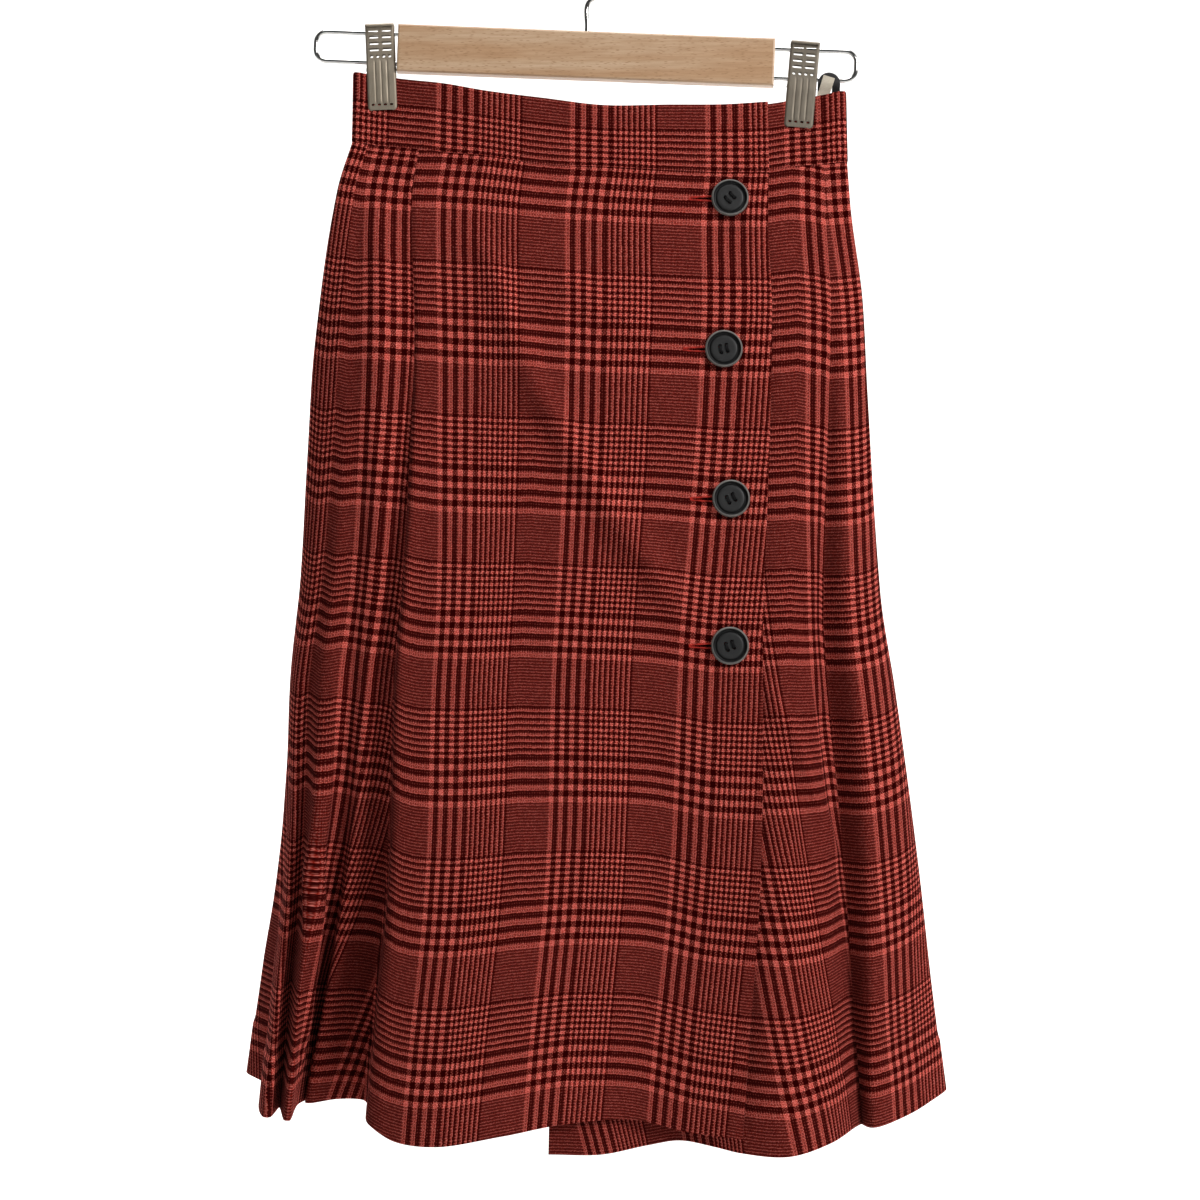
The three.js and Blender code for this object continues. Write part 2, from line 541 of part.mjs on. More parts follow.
// One jaw of a clip: a bent steel sheet with a rolled top edge, pierced with two columns of
// slots and a row of round holes, and pressed with four flutes below them.
function jawGeometry() {
  const half = CLIP.height / 2;
  const side = new THREE.Shape();
  side.moveTo(CLIP.wireGap, half);
  side.lineTo(CLIP.wireGap, CLIP.bend);
  side.lineTo(CLIP.clothGap, CLIP.bend - 1.8);
  side.lineTo(CLIP.clothGap, 1.2 - half);
  side.lineTo(CLIP.clothGap + 0.4, -half);
  side.lineTo(CLIP.clothGap + CLIP.sheet - 0.2, -half);
  side.lineTo(CLIP.clothGap + CLIP.sheet + 0.3, 1.4 - half);
  side.lineTo(CLIP.clothGap + CLIP.sheet + 0.3, CLIP.bend - 2.6);
  side.lineTo(CLIP.wireGap + CLIP.sheet, CLIP.bend - 0.4);
  side.lineTo(CLIP.wireGap + CLIP.sheet, half - 3);
  side.lineTo(CLIP.wireGap + CLIP.sheet + CLIP.roll, half - 2.2);
  side.lineTo(CLIP.wireGap + CLIP.sheet + CLIP.roll, half - 0.8);
  side.lineTo(CLIP.wireGap + CLIP.sheet, half);
  side.closePath();
  const sheet = new THREE.ExtrudeGeometry(side, { depth: CLIP.width, steps: 1, bevelEnabled: false });
  sheet.translate(0, 0, -CLIP.width / 2);
  sheet.rotateX(Math.PI / 2);
  sheet.rotateZ(-Math.PI / 2);
  const cuts = [];
  const middle = -(CLIP.clothGap + CLIP.sheet / 2);
  for (const step of [-1, 0, 1]) {
    const groove = new THREE.BoxGeometry(FLUTE.groove, 1, FLUTE.end - FLUTE.start);
    const y = -(CLIP.clothGap + CLIP.sheet + 0.4);
    cuts.push(groove.translate(step * FLUTE.pitch, y, half - (FLUTE.end + FLUTE.start) / 2));
  }
  for (const step of [-1.5, -0.5, 0.5, 1.5]) {
    const hole = new THREE.CylinderGeometry(FLUTE.hole, FLUTE.hole, PIERCE, 8);
    cuts.push(hole.translate(step * FLUTE.pitch, middle, half - FLUTE.holes));
  }
  for (const column of [-0.5, 0.5]) {
    for (let row = 0; row < SLOT.rows; row += 1) {
      const slot = new THREE.BoxGeometry(SLOT.width, PIERCE, SLOT.height);
      cuts.push(slot.translate(column * SLOT.apart, middle, half - SLOT.first - row * SLOT.pitch));
    }
  }
  return cutAway(sheet, cuts);
}

// Two clips: both jaws and the coil spring between them, leaning in with the cloth's pull.
const CLIPS = [
  { name: "clip_left", x: -139.2, z: -83.4, lean: -2.3 },
  { name: "clip_right", x: 146.7, z: -95.3, lean: 5 },
];
for (const { name, x, z, lean } of CLIPS) {
  const clip = new THREE.Group();
  clip.position.set(x, 0, z);
  clip.rotation.y = THREE.MathUtils.degToRad(lean);
  model.add(clip);
  addPiece(clip, `${name}_front`, jawGeometry(), clipSteel);
  const back = addPiece(clip, `${name}_back`, jawGeometry(), clipSteel);
  back.rotation.z = Math.PI;
  const radius = CLIP.wireGap - WIRE_FIT;
  const spring = new THREE.CylinderGeometry(radius, radius, CLIP.springWidth, 12);
  spring.rotateZ(Math.PI / 2);
  spring.translate(0, 0, CLIP.bend + 1.9);
  addPiece(clip, `${name}_spring`, spring, blackSpring);
}

export default model;
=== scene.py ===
"""A high-waisted wrap skirt in glen check, hung from a wooden clip hanger.

Metres, +Z up, the front faces -Y. The origin is the inside of the hook's crown.
"""

import math
import bmesh
import bpy
import numpy as np
from mathutils import Matrix, Vector
from mathutils.bvhtree import BVHTree


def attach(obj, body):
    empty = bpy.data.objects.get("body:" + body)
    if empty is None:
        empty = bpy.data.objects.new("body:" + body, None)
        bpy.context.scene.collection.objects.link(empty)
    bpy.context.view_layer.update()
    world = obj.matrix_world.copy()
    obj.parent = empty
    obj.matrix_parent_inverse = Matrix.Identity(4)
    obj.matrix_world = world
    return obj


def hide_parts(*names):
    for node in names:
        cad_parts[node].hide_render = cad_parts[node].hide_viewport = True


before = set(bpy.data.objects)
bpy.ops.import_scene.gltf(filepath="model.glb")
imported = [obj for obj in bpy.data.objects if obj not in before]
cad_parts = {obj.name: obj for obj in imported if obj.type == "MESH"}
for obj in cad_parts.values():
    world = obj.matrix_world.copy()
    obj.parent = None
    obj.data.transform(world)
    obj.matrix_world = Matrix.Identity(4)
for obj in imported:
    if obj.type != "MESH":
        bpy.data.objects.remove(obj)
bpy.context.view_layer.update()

# The camera looks level along +Y from 1.8 m, at half the skirt's height.
camera_data = bpy.data.cameras.new("camera")
camera_data.sensor_width = 36.0
camera_data.lens = 79.41
camera_data.clip_end = 20.0
camera = bpy.data.objects.new("camera", camera_data)
camera.location = (0.0095, -1.8, -0.4456)
camera.rotation_euler = (math.radians(90), 0, 0)
bpy.context.scene.collection.objects.link(camera)
bpy.context.scene.camera = camera

# The cloth panels. Eight gores of medium wool-blend cloth, cut along the check and joined by
# plain pressed seams. Left of the front the cloth is fluted, and the wrap's free edge is folded
# back. Everything is worked out in millimetres and turned to metres when a mesh is made.
MM = 0.001
CLOTH_WALL = 1.6
SEAM_GAP = 0.3
SEWN_GAP = 0.03

# The skirt's outline seen from the front at shares of the drop from waist seam to hem.
OUTLINE = np.array([
    # share, left, right
    (0.0, -158.3, 177.0),
    (0.05, -168.6, 179.5),
    (0.15, -178.8, 187.7),
    (0.25, -185.0, 191.0),
    (0.46, -193.0, 200.0),
    (0.56, -201.0, 210.0),
    (0.67, -205.4, 220.3),
    (0.77, -212.0, 229.2),
    (0.88, -224.0, 238.0),
    (1.0, -236.0, 249.0),
])

# The levels at which folds are placed: waist seam, hip, knee and hem.
LEVELS = (0, 0.25, 0.56, 1)

# One row for each fold line along the cloth, from the wrap edge round the left side and the
# back to the underlap's free edge: x and y at the four levels, then the heights of the band's
# top edge, of the waist seam and of the hem.
FOLD_LINES = {
    # name: x at the levels, y at the levels, top, seam, hem
    "wrap_edge": ((124, 124, 118, 104), (-7, -21, -40, -50), -108, -156, -802),
    "button_line": ((94, 92, 84, 69), (-8, -22, -38, -42), -110, -156, -799),
    "wrap_hollow": ((56, 52, 44, 31), (-9, -23, -36, -34), -110.4, -155, -792),
    "wrap_middle": ((12, 8, 0, -17), (-9.5, -23, -36, -42), -110.8, -152.8, -794),
    "wrap_left": ((-28, -34, -44, -56.5), (-9, -23, -38, -52), -106, -151, -800),
    "wrap_swell": ((-68, -78, -90, -99), (-7, -22, -41, -56), -100.6, -145, -806),
    "wrap_turn": ((-96, -104, -118, -127), (-5, -21, -40, -51), -95.4, -142.2, -803),
    "left_edge": ((-110.5, -113.5, -125.5, -142.5), (-4, -20.5, -39, -43), -93.6, -140, -794),
    "left_seam": ((-113, -116, -129, -152), (-3.4, -17, -24, 14), -93.3, -139.8, -788),
    "pleat_floor": ((-117, -121, -136, -170), (-2.9, -17, -22, 8), -92.8, -139.4, -786),
    "pleat_crease": ((-123.5, -131, -147, -189.5), (-2.2, -19, -26, 2), -92, -138.8, -788),
    "side_hollow": ((-130.5, -142, -158, -187), (-1.5, -19, -19, 25), -91, -138, -788),
    "flute_flank": ((-137, -150, -168, -197), (-1.4, -17.5, -18.5, 0), -90, -137.4, -788),
    "flute_front": ((-143, -160, -177.5, -199.5), (-1.4, -15, -20, -34), -89.2, -136.8, -793),
    "side_seam": ((-148, -168, -187, -207.5), (-1.5, -12.5, -10, -8), -88.5, -136, -788),
    "flute_side": ((-151.7, -175, -193, -213.5), (-1.9, -9, -9, -28), -88, -135.6, -792),
    "flute_back": ((-154.8, -180, -198, -220.5), (-2.3, -6, -2, -6), -87.4, -135.2, -788),
    "left_side": ((-157.4, -183.5, -200, -218), (-1.6, -2.5, 5, 21), -87, -135, -780),
    "left_turn": ((-158.3, -185, -201, -236), (0, 1.5, 13, 48), -86.8, -134.8, -775),
    "left_back": ((-157.4, -181.5, -196, -228), (1.6, 6, 20, 62), -87, -134.8, -775),
    "left_back_swell": ((-154.8, -174, -186, -212), (2.3, 10, 25, 68), -87.6, -135, -776),
    "left_back_hollow": ((-148, -162, -173, -197), (1.4, 13, 25, 46), -88.8, -136, -777),
    "left_back_ridge": ((-138, -146, -157, -176), (1.4, 16, 29, 56), -90.4, -137, -778),
    "back_seam_left": ((-118, -122, -132, -141), (1.8, 17.5, 27, 28), -94, -140, -778),
    "back_edge_left": ((-112, -116, -126, -133), (2.6, 20, 32, 62), -95, -141, -779),
    "back_swell_left": ((-84, -84, -92, -96), (3.6, 22, 34, 65), -98.5, -144.5, -780),
    "back_hollow_left": ((-42, -42, -48, -50), (5, 23, 34, 56), -107, -152, -781),
    "back_middle": ((6, 6, 4, 2), (5.6, 23.5, 35, 62), -111.5, -157, -782),
    "back_hollow_right": ((50, 50, 52, 52), (5, 23, 34, 56), -112, -157.5, -783),
    "back_swell_right": ((90, 94, 98, 98), (3.8, 21.5, 34, 65), -112, -157.5, -784),
    "back_edge_right": ((119, 130, 138, 137), (2.5, 19.5, 31, 62), -110, -156, -784),
    "back_seam_right": ((126, 137, 145, 145), (1.9, 16.5, 26, 28), -109.3, -155, -784),
    "right_back_ridge": ((140, 156, 167, 180), (1.4, 14.5, 28, 54), -107, -152.5, -784),
    "right_back_hollow": ((154, 172, 185, 200), (1.4, 10.5, 23, 40), -104.6, -150.4, -784),
    "right_back_swell": ((165, 182, 197, 222), (2.4, 7, 20, 60), -102.4, -149, -785),
    "right_back": ((174, 188.5, 206, 240), (2.2, 3.5, 14, 57), -100.4, -148.5, -785),
    "right_turn": ((177, 191, 210, 249), (0, 0, 6, 41), -99.8, -148.3, -785.5),
    "right_front": ((174, 188, 206, 235), (-2.2, -4, -4, 25), -100, -148.5, -792),
    "right_front_soft": ((170, 182, 198, 218), (-2.5, -8, -12, 10), -100.8, -148.8, -798),
    "right_ridge": ((165.5, 172, 183, 195), (-2.4, -12.5, -21, -6), -102, -149.2, -803),
    "right_seam": ((162.5, 164.5, 164.8, 188.5), (-2.2, -10.5, -8, 7), -102.6, -149.6, -803),
    "right_flank": ((160, 161, 161, 182.5), (-2, -13, -11, -3), -103, -149.8, -803),
    "underlap_round": ((153, 154, 154, 163), (-1.4, -15.5, -22, -29), -104.3, -150.2, -809),
    "underlap_flute": ((140, 142, 137, 134), (-1.4, -17, -28, -44), -106.3, -151, -815),
    "underlap_tuck": ((123, 124, 115, 105), (-2.5, -16.5, -29, -38), -109, -153.6, -814),
    "underlap_slope": ((106, 104, 95, 86), (-3.8, -17, -28.5, -30), -110.5, -155.5, -811),
    "underlap_hollow": ((84, 82, 72, 63), (-4.8, -17.5, -27, -24), -111.5, -157, -808),
    "underlap_rise": ((56, 54, 48, 40), (-5.2, -18, -27, -26), -112, -157.5, -811),
    "underlap_left": ((22, 20, 14, 10), (-5.6, -18, -27, -31), -112, -157, -816),
    "underlap_edge": ((-18, -20, -23, -25), (-5.4, -18, -27, -31), -109, -154, -816),
}
LINE_NAMES = list(FOLD_LINES)
LINE_TOP = np.array([line[2] for line in FOLD_LINES.values()], float)
LINE_SEAM = np.array([line[3] for line in FOLD_LINES.values()], float)


def smooth(stops, values, at):
    """Cubic interpolation through given points that never overshoots them."""
    stops = np.asarray(stops, float)
    values = np.asarray(values, float)
    slopes = np.diff(values) / np.diff(stops)
    before, after = slopes[:-1], slopes[1:]
    same = before * after > 0
    inner = np.where(same, 2 * before * after / np.where(same, before + after, 1), 0)
    tangents = np.concatenate([slopes[:1], inner, slopes[-1:]])
    span = np.searchsorted(stops[1:-1], at, side="left")
    width = stops[span + 1] - stops[span]
    t = (at - stops[span]) / width
    start = (1 + 2 * t) * (1 - t) ** 2 * values[span] + t * (1 - t) ** 2 * width * tangents[span]
    end = t * t * (3 - 2 * t) * values[span + 1] + t * t * (t - 1) * width * tangents[span + 1]
    return start + end


def outline_at(shares):
    """The outline's left edge and width at shares of the drop."""
    left = smooth(OUTLINE[:, 0], OUTLINE[:, 1], shares)
    right = smooth(OUTLINE[:, 0], OUTLINE[:, 2], shares)
    return left, right - left


def fold_points(shares):
    """Every fold line's point at every share: an array of share, line and axis."""
    left, width = outline_at(shares)
    level_left, level_width = outline_at(np.array(LEVELS, float))
    points = np.zeros((len(shares), len(FOLD_LINES), 3))
    for i, (x, y, _, seam, hem) in enumerate(FOLD_LINES.values()):
        across = smooth(LEVELS, (np.array(x) - level_left) / level_width, shares)
        points[:, i, 0] = left + width * across
        points[:, i, 1] = smooth(LEVELS, y, shares)
        points[:, i, 2] = seam + (hem - seam) * shares
    return points


def ring_points(points, at):
    """Points at places along smooth rings through the fold lines, one ring for each row."""
    first = 2 * points[:, :1] - points[:, 1:2]
    last = 2 * points[:, -1:] - points[:, -2:-1]
    padded = np.concatenate([first, points, last], axis=1)
    span = np.clip(np.floor(at).astype(int), 0, points.shape[1] - 2)
    t = (at - span)[None, :, None]
    p0, p1, p2, p3 = (padded[:, span + k] for k in range(4))
    pairs = ((p0, p1), (p1, p2), (p2, p3))
    step = [np.sqrt(np.linalg.norm(b - a, axis=2, keepdims=True)) for a, b in pairs]
    out_slope = (p1 - p0) / step[0] - (p2 - p0) / (step[0] + step[1]) + (p2 - p1) / step[1]
    in_slope = (p2 - p1) / step[1] - (p3 - p1) / (step[1] + step[2]) + (p3 - p2) / step[2]
    out_slope, in_slope = out_slope * step[1], in_slope * step[1]
    curve = p1 + out_slope * t
    curve = curve + (-3 * p1 + 3 * p2 - 2 * out_slope - in_slope) * t ** 2
    return curve + (2 * p1 - 2 * p2 + out_slope + in_slope) * t ** 3


def spaced(points, first, last, step, edges):
    """Places along the ring from one fold line to another, closer together at both ends."""
    places = []
    for span in range(first, last):
        length = np.linalg.norm(points[:, span + 1] - points[:, span], axis=1).max()
        count = max(4, int(math.ceil(length / step)))
        inner = [k / count for k in range(count)]
        if span == first:
            inner = sorted(set(inner) | {edge / length for edge in edges})
        if span == last - 1:
            inner = sorted(set(inner) | {1 - edge / length for edge in edges} | {1.0})
        places += [span + t for t in inner]
    return np.array(places)


def grid_normals(grid):
    """The outward direction at each point of a grid that runs clockwise and down."""
    along = np.gradient(grid, axis=1)
    down = np.gradient(grid, axis=0)
    out = np.cross(down, along)
    out /= np.linalg.norm(out, axis=2, keepdims=True)
    return out


def new_object(name, vertices, faces, uvs=None):
    """An object at the origin from points in millimetres, with a UV pair for each vertex."""
    mesh = bpy.data.meshes.new(name)
    faces = faces.tolist() if isinstance(faces, np.ndarray) else faces
    mesh.from_pydata((np.asarray(vertices, float) * MM).tolist(), [], faces)
    mesh.update()
    if uvs is not None:
        layer = mesh.uv_layers.new(name="cloth_mm")
        corners = np.zeros(len(mesh.loops), np.int32)
        mesh.loops.foreach_get("vertex_index", corners)
        layer.data.foreach_set("uv", np.asarray(uvs, np.float32)[corners].ravel())
    mesh.polygons.foreach_set("use_smooth", [True] * len(mesh.polygons))
    piece = bpy.data.objects.new(name, mesh)
    bpy.context.scene.collection.objects.link(piece)
    return piece


def cloth_shell(name, grid, uvs, outer, inner):
    """A thin closed shell on a grid of middle points, with its two offsets at each point."""
    rows, columns = grid.shape[:2]
    out = grid_normals(grid)
    outside = grid + out * outer[..., None]
    inside = grid - out * inner[..., None]
    vertices = np.concatenate([outside.reshape(-1, 3), inside.reshape(-1, 3)])
    index = np.arange(rows * columns).reshape(rows, columns)
    under = index + rows * columns
    front = np.stack([index[:-1, :-1], index[1:, :-1], index[1:, 1:], index[:-1, 1:]], axis=-1)
    back = np.stack([under[:-1, :-1], under[:-1, 1:], under[1:, 1:], under[1:, :-1]], axis=-1)
    loop = np.concatenate([index[0, :-1], index[:-1, -1], index[-1, :0:-1], index[:0:-1, 0]])
    following = np.roll(loop, -1)
    rim = np.stack([loop, following, following + rows * columns, loop + rows * columns], axis=-1)
    faces = np.concatenate([front.reshape(-1, 4), back.reshape(-1, 4), rim])
    both = np.concatenate([uvs.reshape(-1, 2), uvs.reshape(-1, 2)])
    piece = new_object(name, vertices, faces, both)
    piece.data.set_sharp_from_angle(angle=math.radians(60))
    return piece


def from_pins(names, pins, arc, shares):
    """Cloth distance at each point: pinned on some fold lines, and even along the cloth between."""
    places = [names.index(name) for name, _ in pins]
    pinned = np.stack([smooth(LEVELS, values, shares) for _, values in pins], axis=1)
    result = np.zeros_like(arc["at_columns"])
    for row in range(len(shares)):
        stops = arc["at_lines"][row, places]
        result[row] = np.interp(arc["at_columns"][row], stops, pinned[row])
    return result


# Each gore: its two edges, the check's place across and down the cloth on pinned fold lines, in
# millimetres at the four levels, and the flat cut.
PANELS = {
    "front_wrap_panel": {
        "edges": ("wrap_edge", "left_seam"),
        "across": (("wrap_edge", (221, 227, 239, 248)), ("wrap_middle", (112, 113.5, 115.8, 117.5)),
                   ("wrap_left", (71.6, 69, 66.7, 74.5)), ("wrap_turn", (1, -4.5, -17, -6)),
                   ("left_edge", (-13.5, -15.5, -28, -28)), ("left_seam", (-16, -20, -41, -76))),
        "down": (("wrap_edge", (-3.3, 158.8, 368, 669.6)), ("button_line", (-3.3, 158.4, 367, 672.4)),
                 ("wrap_middle", (-2.8, 158, 372, 680)), ("wrap_left", (-2, 161.7, 376.3, 679.6)),
                 ("wrap_turn", (-3, 160, 374.4, 678)), ("left_edge", (-5, 157, 371.4, 675)),
                 ("left_seam", (-5, 156, 370, 672))),
        "flat": (0.32, 0.67), "area": 0.171,
    },
    "side_front_left": {
        "edges": ("left_seam", "side_seam"),
        "across": (("left_seam", (31, 35, 41.5, 118)), ("side_seam", (-4, -17.5, -25.5, -36))),
        "down": (("left_seam", (-8.4, 153.6, 362.6, 664)), ("side_hollow", (-8.4, 154.3, 368, 669)),
                 ("side_seam", (-8.4, 155, 371, 676))),
        "flat": (0.16, 0.66), "area": 0.049,
    },
    "side_back_left": {
        "edges": ("side_seam", "back_seam_left"),
        "across": (("side_seam", (52, 56, 56, 56)), ("left_side", (42, 36, 32, -18)),
                   ("back_seam_left", (2, -36, -54, -192))),
        "down": (("side_seam", (-7, 154.5, 371, 674)), ("back_seam_left", (-3, 157, 368, 666))),
        "flat": (0.24, 0.66), "area": 0.078,
    },
    "centre_back": {
        "edges": ("back_seam_left", "back_seam_right"),
        "across": (("back_seam_left", (122, 132, 142, 180)), ("back_middle", (0, 0, 0, 0)),
                   ("back_seam_right", (-122, -135, -145, -180))),
        "down": (("back_seam_left", (-3, 157, 368, 666)), ("back_seam_right", (-3, 157, 368, 666))),
        "flat": (0.35, 0.64), "area": 0.18,
    },
    "side_back_right": {
        "edges": ("back_seam_right", "right_turn"),
        "across": (("back_seam_right", (0, 12, 16, 44)), ("right_turn", (-52, -54, -62, -110))),
        "down": (("back_seam_right", (-3, 157, 368, 666)), ("right_turn", (-7, 154, 367, 674))),
        "flat": (0.14, 0.65), "area": 0.05,
    },
    "side_front_right": {
        "edges": ("right_turn", "right_seam"),
        "across": (("right_turn", (17, 22, 36, 60)), ("right_seam", (0.5, -11, -22, -30))),
        "down": (("right_turn", (-7, 154, 367, 674)), ("right_seam", (-7, 154, 366.5, 674))),
        "flat": (0.1, 0.66), "area": 0.037,
    },
    "underlap_panel": {
        "edges": ("right_seam", "underlap_edge"),
        "across": (("right_seam", (18, 19, 20, -12)), ("underlap_round", (8, 6.7, 0, -60)),
                   ("underlap_flute", (-5, -5.4, -28, -92)), ("underlap_tuck", (-23, -23.4, -51, -122)),
                   ("underlap_edge", (-165, -168, -190, -300))),
        "down": (("right_seam", (-7, 154, 370, 679)), ("underlap_round", (-4, 158.8, 374.6, 678)),
                 ("underlap_flute", (-2.2, 163.2, 378.3, 677.5)),
                 ("underlap_edge", (-2.4, 163.9, 379.2, 678.5))),
        "flat": (0.25, 0.67), "area": 0.134,
    },
}

GRID_STEP = 2.8
EDGE_STEPS = (0.25, 0.8, 1.7)
SEAM_DITCH = 1.1
SEAM_DITCH_WIDTH = 1.5
FOLD_ROUND = 0.5
HEM_DEPTH = 38.0
HEM_EXTRA = 0.9
FREE_EDGES = ("wrap_edge", "underlap_edge")

# Soft creases pressed and hung into each gore: where each starts and ends
# across and down the cloth, half its width, and how far it sinks (or rises, if negative).
CREASES = {
    # from (across, down), to (across, down), half width, depth
    "front_wrap_panel": (
        ((206, 20), (214, 150), 16, 0.9), ((28, 48), (84, 184), 10, 4.0),
        ((74, 160), (178, 310), 11, 5.6), ((81, 70), (146, 112), 11, 2.6),
        ((190, 215), (150, 262), 18, -0.6), ((60, 10), (52, 190), 24, 0.9),
        ((20, 40), (2, 260), 18, -0.8), ((112, 300), (130, 490), 26, 2.4),
        ((126, 450), (160, 660), 28, 2.6), ((6, 360), (-6, 620), 22, -1.1),
    ),
    "side_front_left": (
        ((10, 20), (12, 200), 8, 2.4), ((12, 180), (13, 345), 8, 2.6),
        ((-1, 330), (-7, 530), 7, 5.0), ((-7, 490), (16, 640), 8, 6.0),
    ),
    "side_back_left": (
        ((20, 60), (40, 420), 16, 1.0),
    ),
    "centre_back": (
        ((70, 20), (84, 330), 24, 1.2), ((-66, 60), (-88, 420), 26, 1.3),
        ((4, 260), (-10, 640), 28, -1.4), ((100, 400), (128, 640), 20, 1.2),
    ),
    "side_back_right": (
        ((-24, 80), (-36, 460), 16, 1.0),
    ),
    "side_front_right": (
        ((-8, 4), (-10, 220), 6, 1.3),
    ),
    "underlap_panel": (
        ((-16, 20), (-20, 200), 12, 0.8), ((-8, 290), (8, 400), 5, -1.8),
        ((8, 380), (7, 480), 5, -1.7), ((-43, 352), (-10, 442), 7, 2.6),
        ((-16, 428), (10, 492), 7, 2.4), ((-60, 420), (-92, 660), 16, 0.8),
    ),
}


def crease_relief(name, across, down):
    """How far the named creases and the cloth's slight unevenness move its surface inwards."""
    relief = np.zeros_like(across)
    for start, end, half_width, depth in CREASES.get(name, ()):
        run = np.array(end, float) - np.array(start, float)
        length = np.hypot(*run)
        t = ((across - start[0]) * run[0] + (down - start[1]) * run[1]) / length ** 2
        wander = 0.18 * half_width * np.sin(t * 7.3 + half_width)
        side = ((across - start[0]) * run[1] - (down - start[1]) * run[0]) / length + wander
        fade = np.clip((t + 0.15) / 0.4, 0, 1) * np.clip((1.15 - t) / 0.4, 0, 1)
        relief += depth * np.exp(-(side / half_width) ** 2) * fade ** 2 * (3 - 2 * fade)
    phase = len(name)
    relief += 0.22 * np.sin(across / 17 + down / 61 + phase) * np.sin(down / 33 - across / 90)
    relief += 0.16 * np.sin(across / 9.5 - down / 47 + 2 * phase) * np.sin(down / 19 + phase)
    return relief


def to_linear(code):
    """A hex sRGB colour as linear RGBA."""
    parts = [int(code[i:i + 2], 16) / 255 for i in (1, 3, 5)]
    parts = [p / 12.92 if p <= 0.04045 else ((p + 0.055) / 1.055) ** 2.4 for p in parts]
    return (*parts, 1.0)


def feed(tree, target, *values, **named):
    """Gives a node's inputs their links or values: in their order, or by name with underscores
    for spaces, or by number after an n. A node stands for its first output, a hex for its colour."""
    places = list(enumerate(values))
    for key, value in named.items():
        numbered = key[0] == "n" and key[1:].isdigit()
        places.append((int(key[1:]) if numbered else key.replace("_", " "), value))
    for place, value in places:
        if isinstance(value, bpy.types.Node):
            value = value.outputs[0]
        if isinstance(value, bpy.types.NodeSocket):
            tree.links.new(value, target.inputs[place])
        else:
            target.inputs[place].default_value = to_linear(value) if isinstance(value, str) else value


def node(tree, kind, settings=None, *values, **named):
    """Adds a node with its properties, or its operation alone, and its inputs' links or values."""
    added = tree.nodes.new(kind)
    if isinstance(settings, str):
        settings = {"operation": settings}
    for key, value in (settings or {}).items():
        setattr(added, key, value)
    feed(tree, added, *values, **named)
    return added


def new_material(name):
    """A material with only its output and Principled shader, and its tree."""
    material = bpy.data.materials.new(name)
    material.use_nodes = True
    return material, material.node_tree, material.node_tree.nodes["Principled BSDF"]


MATH = "ShaderNodeMath"
IN_COLOUR = {"data_type": "RGBA"}

# Glen check: a wool blend in plain weave with salmon-red and near-black maroon yarns. Warp and
# weft each run four and four, two and two, then one and one, so the crossings give the check's
# squares, pinstripes and fine lines. The charted repeat is 98 ends by 96 picks.
WARP_PITCH = 0.912
WEFT_PITCH = 1.073
WARP_REPEAT = 98
WEFT_REPEAT = 96
FUZZ = 0.45
YARN_WANDER = 1.5


def stripes(tree, yarn, repeat, periods):
    """The charted colours of a yarn by its number: how far it lies into its stripe pair beyond
    the pair's middle, and whether it is in the first 32 yarns and in the first 64."""
    charted = node(tree, MATH, "FLOORED_MODULO", yarn, float(repeat))
    first = node(tree, MATH, "LESS_THAN", charted, 31.5)
    second = node(tree, MATH, "LESS_THAN", charted, 63.5)
    period = node(tree, MATH, "MULTIPLY_ADD", second, periods[1] - periods[2], periods[2])
    period = node(tree, MATH, "MULTIPLY_ADD", first, periods[0] - periods[1], period)
    half = node(tree, MATH, "MULTIPLY_ADD", period, 0.5, -0.5)
    into = node(tree, MATH, "FLOORED_MODULO", charted, period)
    return node(tree, MATH, "SUBTRACT", into, half), first, second


